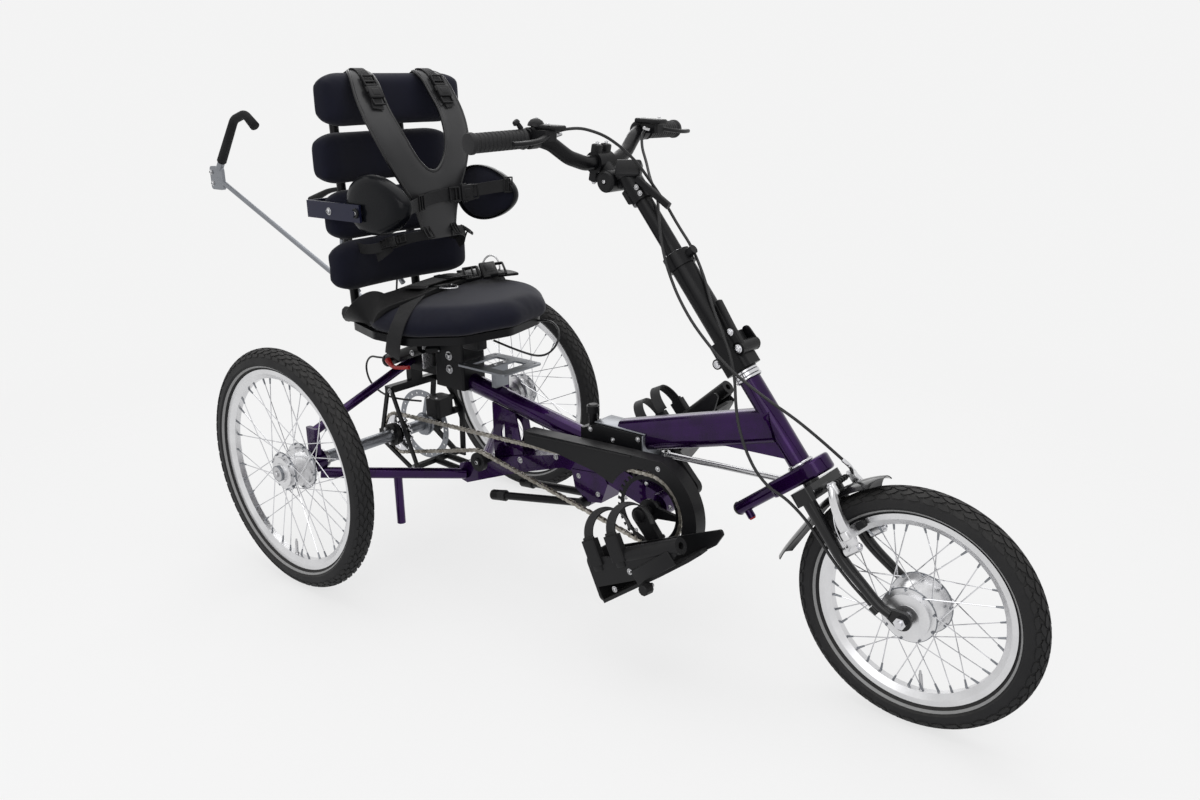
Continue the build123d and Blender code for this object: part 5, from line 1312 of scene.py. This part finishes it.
def make_front_brake():
    """Brake pads in their holders, return springs and the cable's bent guide."""
    rubber, metal, bellows = bmesh.new(), bmesh.new(), bmesh.new()
    lean = math.radians(-6)
    out = UP * math.cos(lean) + AHEAD * math.sin(lean)
    along = AHEAD * math.cos(lean) - UP * math.sin(lean)
    for side, name in SIDES:
        pad = on_way(FRONT_AXLE + out * 0.151 + LEFT * side * 0.0175, along, along.cross(out))
        holder = Matrix.Translation(LEFT * side * 0.0062) @ pad
        box(rubber, (58, 12.5, 7.4), pad, 2.4, 3)
        box(metal, (26, 15, 6), holder, 1.6)
        box(metal, (13, 30, 15), placed(steer(-132, 42, side * 46), UP, LEFT), 2.5, 3)
        box(metal, (17, 12, 20), placed(steer(-112, 42, side * 48), UP, LEFT), 2.5, 3)
        box(metal, (15, 9, 20), placed(steer(-62, 52, side * 36), UP, LEFT), 3.0, 3)
        arm = path_of(route(steer, *mirrored(BRAKE_ARM, side)))
        ribbon(metal, arm, 17, 6.4, across=AHEAD, taper=lambda t: 1 - 0.3 * t)
        tube(f"brake_spring_{name}", route(steer, *mirrored(BRAKE_SPRING, side)), 0.9, "Chrome", "steering")
    piece("brake_pads", rubber, "Grip Rubber", "steering")
    piece("brake_clamps", metal, "Bright Alloy", "steering")
    tube("brake_noodle", route(steer, *BRAKE_NOODLE), 3.4, "Chrome", "steering")
    for fold in range(-30, 18, 8):
        rod(bellows, steer(-56, 53, fold), steer(-56, 53, fold + 6.4), 5.0, 3.6)
    piece("brake_bellows", bellows, "Grip Rubber", "steering")


def make_mudguard():
    """The arched guard over the back of the front tyre, with a flared flap."""
    bm = bmesh.new()
    bmesh.ops.create_grid(bm, x_segments=36, y_segments=10, size=0.5)
    for vert in bm.verts:
        share, across = vert.co.x + 0.5, vert.co.y * 2
        flare = max(0.0, share - 0.66) / 0.34
        radius = 213.5 + 24 * flare**1.6 - 9 * across**2
        front_tip = max(0.0, 1 - share / 0.08)
        flap_tip = max(0.0, share - 0.93) / 0.07
        width = 27 * (1 - 0.35 * front_tip**2) * (1 - 0.25 * flap_tip)
        vert.co = FRONT_AXLE + round_axle(math.radians(108 + 67 * share), radius, width * across)
    bmesh.ops.recalc_face_normals(bm, faces=bm.faces)
    bmesh.ops.solidify(bm, geom=bm.faces[:], thickness=0.0018)
    rod(bm, steer(-8), steer(-30), 9, None, 20)
    guard = piece("mudguard_blade", bm, "Gloss Black Paint", "steering", 50)
    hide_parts("mudguard")


# ---------------------------------------------------------------- fittings on the frame, the steering and the pedals
def make_clamp():
    """The folding joint's bright cover strip, its knob and a rib along the shield over the drive chain."""
    strip, end_plate = at(600, 0, 380), at(655.6, 0, 348)
    build("clamp_cover", "Grey Steel", "frame", (box, (118, 50, 3), strip, 1.0), (box, (3, 58, 60), end_plate, 1.0))
    knob = [(0, 9), (8, 8.4), (10.6, 6), (11, 3), (10, 0), (0, 0)]
    build("clamp_knob", "Moulded Plastic", "frame", (turned, knob, placed(at(517, 0, 396))))
    bm = bmesh.new()
    ends = route(at, (412, -72.6, 341), (560, -72.6, 349), (664, -72.6, 354))
    for start, end in zip(ends, ends[1:]):
        box(bm, (2.4, 4.5, (end - start).length * 1000), placed((start + end) / 2, end - start, LEFT), 1.0)
    piece("guard_rib", bm, "Moulded Plastic", "frame")


SEAT_CABLES = {
    "seat_cable_loop": (
        (4, -66, 424), (-30, -70, 420), (-66, -66, 418), (-92, -62, 390), (-84, -60, 352), (-40, -62, 334),
        (10, -60, 330), (42, -20, 322),
    ),
    "seat_cable_front": (
        (250, 6, 486), (306, 30, 464), (346, 52, 456), (376, 60, 484), (368, 78, 514), (310, 104, 522), (240, 110, 503),
    ),
    "seat_cable_rear": (
        (-2, -56, 424), (-50, -20, 430), (-100, 30, 455), (-118, 60, 520), (-112, 66, 600), (-100, 60, 660),
    ),
}
RELEASE_LEVER = ((10, -78, 424), (26, -82, 412), (52, -84, 414), (84, -82, 420))


def make_seat_block():
    """The adjuster under the seat: edge plate, knobs, the red release lever and the cable loops."""
    build("seat_edge_plate", "Zinc", "frame", (box, (4, 50, 62), at(104, -36, 446), 1.0))
    bm = bmesh.new()
    turned(bm, [(0, 10), (10, 9.4), (14, 6), (14.6, 0), (0, 0)], placed(at(-9, -60, 416), (-1, 0, -0.4)))
    box(bm, (54, 44, 26), at(60, -52, 480), 4, 3)
    box(bm, (44, 30, 30), at(232, -30, 488), 4, 3)
    box(bm, (30, 60, 12), at(222, 10, 494), 3, 3)
    knob = [(0, 9), (15, 9), (17, 6.5), (17, 2), (14, 0), (0, 0)]
    for side, _ in SIDES:
        turned(bm, knob, placed(at(-86, side * 96, 515), LEFT * side), 10)
        rod(bm, at(-86, side * 84, 515), at(-86, side * 97, 515), 6)
    piece("seat_adjusters", bm, "Moulded Plastic", "frame")
    tube("release_lever", route(at, *RELEASE_LEVER), 4.6, "Red Cap", "frame", taper=[1.5, 1.0, 0.9, 0.9])
    for name, places in SEAT_CABLES.items():
        tube(name, route(at, *places), 2.2, "Cable Sleeve", "frame")


STRUT = ((-92, 62, 556), (-126, 62, 590), (-140, 62, 640), (-128, 62, 690))
STRUT_SLEEVE = ((-131, 62, 668), (-124, 62, 700), (-104, 62, 726), (-86, 66, 734))
RECLINE_LEVER = ((-92, -84, 778), (-116, -92, 776), (-142, -100, 764), (-168, -108, 752))


def make_back_frame():
    """The curved rear struts, the angle lever and the rib pads' knobs."""
    bm = bmesh.new()
    for side, name in SIDES:
        lower, upper = ([at(x, side * y, z) for x, y, z in places] for places in (STRUT, STRUT_SLEEVE))
        tube(f"rear_strut_{name}", lower, 6.0, "Grey Steel", "frame")
        tube(f"rear_strut_sleeve_{name}", upper, 7.6, "Moulded Plastic", "frame")
        rod(bm, at(70, side * 162, 748), at(70, side * 176, 748), 9.5, None, 24, 0.8)
        box(bm, (24, 16, 40), at(-84, side * 92, 747), 3)
        for z in (957, 844, 632):
            box(bm, (12, 26, 34), at(-88 - 0.055 * (z - 700), side * 85, z), 2.5)
    box(bm, (10, 150, 26), at(-86, 0, 985), 2)
    box(bm, (10, 150, 26), at(-72, 0, 600), 2)
    piece("back_clamps", bm, "Moulded Plastic", "frame")
    lever = route(at, *RECLINE_LEVER)
    tube("recline_lever", lever, 6.4, "Moulded Plastic", "frame", taper=[0.7, 0.8, 1.1, 1.3])


def arc(x, y, radius, first, last):
    """Points of a circle from one twelfth to another."""
    turns = [math.tau * k / 12 for k in range(first, last + 1)]
    return [(x + math.cos(a) * radius, y + math.sin(a) * radius) for a in turns]


def make_stem_fittings():
    """Clamp screws, the joint's caps, the small display, the collar lever and the post's hinge plates."""
    caps, bolts, plates = bmesh.new(), bmesh.new(), bmesh.new()
    box(caps, (44, 30, 22), placed(at(611, -8, 842), (0.35, -0.75, 0.5)), 4, 3)
    box(caps, (24, 22, 26), placed(at(616, -4, 800), UP), 3)
    collar = placed(steer(POST_SPLIT - 13, 29), AHEAD)
    turned(caps, [(0, 7), (6, 6.6), (7.6, 5), (7.6, 0), (0, 0)], collar, 20)
    for side, _ in SIDES:
        out = LEFT * side
        turned(caps, [(0, 5), (10, 5), (15, 3.4), (17.5, 0), (0, 0)], placed(at(574, side * 25, 822), out), 28)
        for x, z, bolt_x, bolt_z, way in ((543, 868, 546, 884, 1), (540, 834, 537, 818, -1)):
            box(caps, (15, 16, 30), placed(at(x, side * 12, z), (0.2, 0, 1)), 3)
            bolt(bolts, at(bolt_x, side * 12, bolt_z), (0.2 * way, 0, way), 3.4, 3.0)
        bolt(bolts, at(574, side * 30, 822), out, 3.6, 2.0)
        outline = arc(0, 0, 10, 6, 12) + arc(0, 27, 8, 0, 6)
        plate(plates, outline, 4, on_way(steer(204, 28, side * 24 + 2), AHEAD, AHEAD.cross(UP)), 0.8)
    for along in (530, 518):
        bolt(bolts, steer(along, 14, -19), (0, -1, 0), 3.2, 2.8)
    piece("stem_caps", caps, "Moulded Plastic", "steering")
    piece("stem_bolts", bolts, "Zinc", "steering")
    piece("hinge_plates", plates, "Black Paint", "steering")


def grip_profile(span):
    """A ribbed sleeve between two flanges, over a span in millimetres."""
    profile = [(0, 2), (11.6, 2), (16.6, 2), (17.2, 4), (16.4, 7)]
    z = 9.0
    while z < span - 12:
        profile += [(14.4, z), (15.6, z + 1.2), (15.6, z + 5.6), (14.4, z + 6.8)]
        z += 8.2
    profile += [(16.2, span - 8), (17.2, span - 5.6), (17.2, span - 1), (16, span + 1.6), (11, span + 2.2)]
    return [*profile, (0, span + 2.2)]


def make_grips():
    """Ribbed sleeves with end flanges, the gear switch, the bell and the levers' clamps and adjusters."""
    sleeves, black, bright = bmesh.new(), bmesh.new(), bmesh.new()

    def near(point, x, y, z):
        return point + Vector((x, y, z)) / 1000

    for side, _ in SIDES:
        start, end = at(516.5, side * 162, 898), at(504.7, side * 269, 895.5)
        way = (end - start).normalized()
        turned(sleeves, grip_profile((end - start).length * 1000 + 4), placed(start, way), 40)
        root = start - way * 0.016
        rod(black, root - way * 0.011, root + way * 0.011, 17.0, None, 32, 1.6)
        box(black, (30, 24, 15), placed(near(root, 26, 0, 6), (0, 0, 1), LEFT), 4.5, 3)
        box(black, (58, 26, 9), placed(near(root, 30, side * -8, 17), (0.05, 0, 1), LEFT), 3.4, 3)
        rod(bright, near(root, 34, side * -20, 4), near(root, 34, side * -34, 6), 3.6, 3.2, 16, 0.5)
        bolt(bright, near(root, 40, side * 4, 22.5), (0.05, 0, 1), 3.0, 1.8, False)
    right = at(518, -162, 898)
    bell = placed(near(right, 8, 18, 15), (0.1, 0.1, 1))
    turned(black, [(0, 17), (5, 16.2), (10, 13.4), (13.4, 8.6), (14.4, 3.6), (12.6, 3), (0, 3)], bell, 32)
    box(black, (16, 16, 12), shifted(bell, 0, 0, -1), 2)
    turned(bright, [(0, 18.8), (2.0, 18.4), (2.6, 16.6), (0, 16.4)], bell, 12)
    thumb = near(right, -2, -5, 15)
    rod(black, thumb, near(thumb, -3, -6, 10), 4.4, 3.8, 16, 1.2)
    rod(black, near(thumb, -3, -6, 8), near(thumb, -5, -10, 14), 6.4, 5.6, 20, 1.6)
    made = piece("grip_sleeves", sleeves, "Grip Rubber", "steering", 30)
    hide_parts("grips")
    piece("lever_housings", black, "Moulded Plastic", "steering")
    piece("cable_adjusters", bright, "Zinc", "steering")


CRANK = at(693, 0, 254)


def sandal_frame(side):
    """A sandal's points from its spindle, with its own lengthwise and upright directions."""
    centre = CRANK + round_axle(CRANK_TURN, 86) * -side
    pitch = math.radians(25.0 if side < 0 else 41.0)
    u = Vector((math.cos(pitch), 0, math.sin(pitch)))
    w = Vector((-math.sin(pitch), 0, math.cos(pitch)))

    def foot(along, up, out):
        return centre + (u * along + w * up) / 1000 + LEFT * side * out / 1000

    return foot, u, w


def make_sandals():
    """Screws, strap keepers, the moulded edge and the adjusting knob on both sandals."""
    for side, name in SIDES:
        foot, u, w = sandal_frame(side)
        black, bright = bmesh.new(), bmesh.new()
        out = LEFT * side
        for along in (-60, -6):
            keeper = on_way(foot(along, 66, 187), w, out)
            box(black, (38, 24, 7), keeper, 2.2, 3)
            box(black, (9, 29, 10), shifted(keeper, 8, 0, 0), 2.2, 3)
            box(black, (18, 20, 9), on_way(foot(along, 32, 187), w, out), 2.6, 3)
        box(black, (96, 26, 4), on_way(foot(62, 14, 190.5), u * 0.97 + w * 0.24, out), 1.8, 3)
        rod(black, foot(34, -18, 185), foot(34, -18, 203), 11, 9.6, 10, 1.4)
        rod(bright, foot(34, -18, 176), foot(34, -18, 188), 4.4)
        for along, up in ((-40, -12), (8, 14), (66, 22)):
            bolt(bright, foot(along, up, 189.5), out, 3.8, 3.0)
        for along in (6, 52):
            bolt(bright, foot(along, 30 + along * 0.05, 96.0), out, 3.4, 2.4, False)
        piece(f"sandal_{name}_keepers", black, "Moulded Plastic", f"pedal_{name}")
        piece(f"sandal_{name}_screws", bright, "Zinc", f"pedal_{name}")


def make_crank_fittings():
    """The chainring's five bolts and the crank's caps."""
    turns = [CRANK_TURN + math.tau * i / 5 for i in range(5)]
    spots = [CRANK + round_axle(turn, 52, -59.7) for turn in turns]
    build("chainring_bolts", "Zinc", "crank", *[(bolt, spot, (0, -1, 0), 3.6, 1.8, False) for spot in spots])
    cap = [(0, 3), (9, 3), (12, 1.6), (12.5, 0), (0, 0)]
    ends = [placed(CRANK + LEFT * side * 0.088, LEFT * side) for side, _ in SIDES]
    build("crank_caps", "Moulded Plastic", "crank", *[(turned, cap, end) for end in ends])


def make_stand_feet():
    """Rubber ends on the prop stand's legs."""
    bm = bmesh.new()
    for side, _ in SIDES:
        foot, knee = at(286, side * 44, 172), at(506, side * 24, 207)
        way = (foot - knee).normalized()
        rod(bm, foot - way * 0.03, foot + way * 0.008, 11.6, 10.4, 20, 1.4)
    piece("stand_feet", bm, "Grip Rubber", "prop_stand")


def make_peg_cap():
    """The end cap and the red button of the steering lock's peg."""
    cap = (rod, steer(-19.5, -154), steer(-19.5, -160), 12.4, 11.0, 28, 1.2)
    button = (rod, steer(-41.5, -141), steer(-46.5, -141), 6.6, 5.6, 20, 1.0)
    build("peg_cap", "Black Paint", "steering", cap)
    build("peg_button", "Red Cap", "steering", button)


def make_push_grip():
    """The push handle's foam sleeve, drawn in from its part, over the end of its rod."""
    bm = merged("push_grip")
    bm.normal_update()
    for vert in bm.verts:
        vert.co -= vert.normal * 0.0046
    rod(bm, at(-703, 0, 790), at(-684, 0, 814), 8.6, None, 20)
    sleeve = piece("push_handle_sleeve", bm, "Handle Foam", "frame", 50)
    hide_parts("push_grip")


# ---------------------------------------------------------------- settings and operators
def colour(label, description, default):
    return FloatVectorProperty(name=label, description=description, subtype="COLOR", size=3, default=default)


def length(label, description, default):
    return FloatProperty(name=label, description=description, unit="LENGTH", subtype="DISTANCE", default=default)


class TricycleColours(bpy.types.PropertyGroup):
    paint: colour("Frame Paint", "Colour of the painted frame", (0.026, 0.0022, 0.062))
    padding: colour("Padding", "Colour of the seat and back covers", (0.0056, 0.006, 0.0135))


class TricycleSizes(bpy.types.PropertyGroup):
    webbing: length("Harness Webbing", "Width of the harness's straps", 0.025)
    belt: length("Lap Belt", "Width of the padded lap belt", 0.074)
    piping: length("Piping", "Radius of the vest's piping", 0.0036)
    groove: length("Tread Depth", "Depth of the tyres' grooves", 0.0022)
    pitch: length("Chain Pitch", "Distance between the chain's pins", 0.0127)


class TRICYCLE_OT_stage(bpy.types.Operator):
    """Make the camera, the lamps, the backdrop and the floor"""

    bl_idname = "tricycle.stage"
    bl_label = "Stage"

    def execute(self, context):
        make_stage()
        return {"FINISHED"}


class TRICYCLE_OT_finishes(bpy.types.Operator):
    """Paint the frame's own parts"""

    bl_idname = "tricycle.finishes"
    bl_label = "Finishes"

    def execute(self, context):
        colours = context.scene.tricycle_colours
        make_finishes(tuple(colours.paint), tuple(colours.padding))
        for name, parts in FRAME_FINISHES.items():
            for part in parts.split():
                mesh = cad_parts[part].data
                mesh.materials.clear()
                mesh.materials.append(bpy.data.materials[name])
        return {"FINISHED"}


class TRICYCLE_OT_padding(bpy.types.Operator):
    """Fill the back rolls, the seat cushion and the rib pads"""

    bl_idname = "tricycle.padding"
    bl_label = "Padding"

    def execute(self, context):
        make_padding()
        make_lateral_pads()
        return {"FINISHED"}


class TRICYCLE_OT_harness(bpy.types.Operator):
    """Cut the vest, its straps and the lap belt"""

    bl_idname = "tricycle.harness"
    bl_label = "Harness and Lap Belt"

    def execute(self, context):
        sizes = context.scene.tricycle_sizes
        make_harness(sizes.webbing * 1000, sizes.piping * 1000)
        make_lap_belt(sizes.belt * 1000)
        return {"FINISHED"}


class TRICYCLE_OT_wheels(bpy.types.Operator):
    """Tread the tyres and fit the rings, nipples, valves and hub ends"""

    bl_idname = "tricycle.wheels"
    bl_label = "Wheels"

    def execute(self, context):
        for wheel in WHEELS:
            make_wheel(context.scene.tricycle_sizes.groove * 1000, *wheel)
        make_hub_ends()
        return {"FINISHED"}


class TRICYCLE_OT_drive(bpy.types.Operator):
    """Link the chain and fit the crank's caps and the sandals' hardware"""

    bl_idname = "tricycle.drive"
    bl_label = "Chain and Pedals"

    def execute(self, context):
        make_chain(context.scene.tricycle_sizes.pitch * 1000)
        make_crank_fittings()
        make_sandals()
        return {"FINISHED"}


class TRICYCLE_OT_hardware(bpy.types.Operator):
    """Fit the screws, the front brake, the clamps, the seat block and the rear struts"""

    bl_idname = "tricycle.hardware"
    bl_label = "Hardware"

    def execute(self, context):
        make_hardware()
        make_front_brake()
        make_clamp()
        make_seat_block()
        make_back_frame()
        make_stand_feet()
        make_peg_cap()
        make_mudguard()
        return {"FINISHED"}


class TRICYCLE_OT_controls(bpy.types.Operator):
    """Fit the grips, the levers' housings, the bell and the stem's caps"""

    bl_idname = "tricycle.controls"
    bl_label = "Controls"

    def execute(self, context):
        make_stem_fittings()
        make_grips()
        make_push_grip()
        return {"FINISHED"}


SETTINGS = {"tricycle_colours": TricycleColours, "tricycle_sizes": TricycleSizes}
OPERATORS = (
    TRICYCLE_OT_stage,
    TRICYCLE_OT_finishes,
    TRICYCLE_OT_padding,
    TRICYCLE_OT_harness,
    TRICYCLE_OT_wheels,
    TRICYCLE_OT_drive,
    TRICYCLE_OT_hardware,
    TRICYCLE_OT_controls,
)


class TRICYCLE_PT_panel(bpy.types.Panel):
    """Every step of the tricycle's making, in order"""

    bl_idname = "TRICYCLE_PT_panel"
    bl_label = "Therapy Tricycle"
    bl_space_type = "VIEW_3D"
    bl_region_type = "UI"
    bl_category = "Tricycle"

    def draw(self, context):
        for setting, group in SETTINGS.items():
            for label in group.__annotations__:
                self.layout.prop(getattr(context.scene, setting), label)
        for operator in OPERATORS:
            self.layout.operator(operator.bl_idname)


CLASSES = (*SETTINGS.values(), *OPERATORS, TRICYCLE_PT_panel)


def register():
    for made in CLASSES:
        bpy.utils.register_class(made)
    for setting, group in SETTINGS.items():
        setattr(bpy.types.Scene, setting, PointerProperty(type=group))


def unregister():
    for setting in SETTINGS:
        delattr(bpy.types.Scene, setting)
    for made in reversed(CLASSES):
        bpy.utils.unregister_class(made)


def main():
    register()
    for operator in OPERATORS:
        group, name = operator.bl_idname.split(".")
        getattr(getattr(bpy.ops, group), name)()


if __name__ == "__main__":
    main()
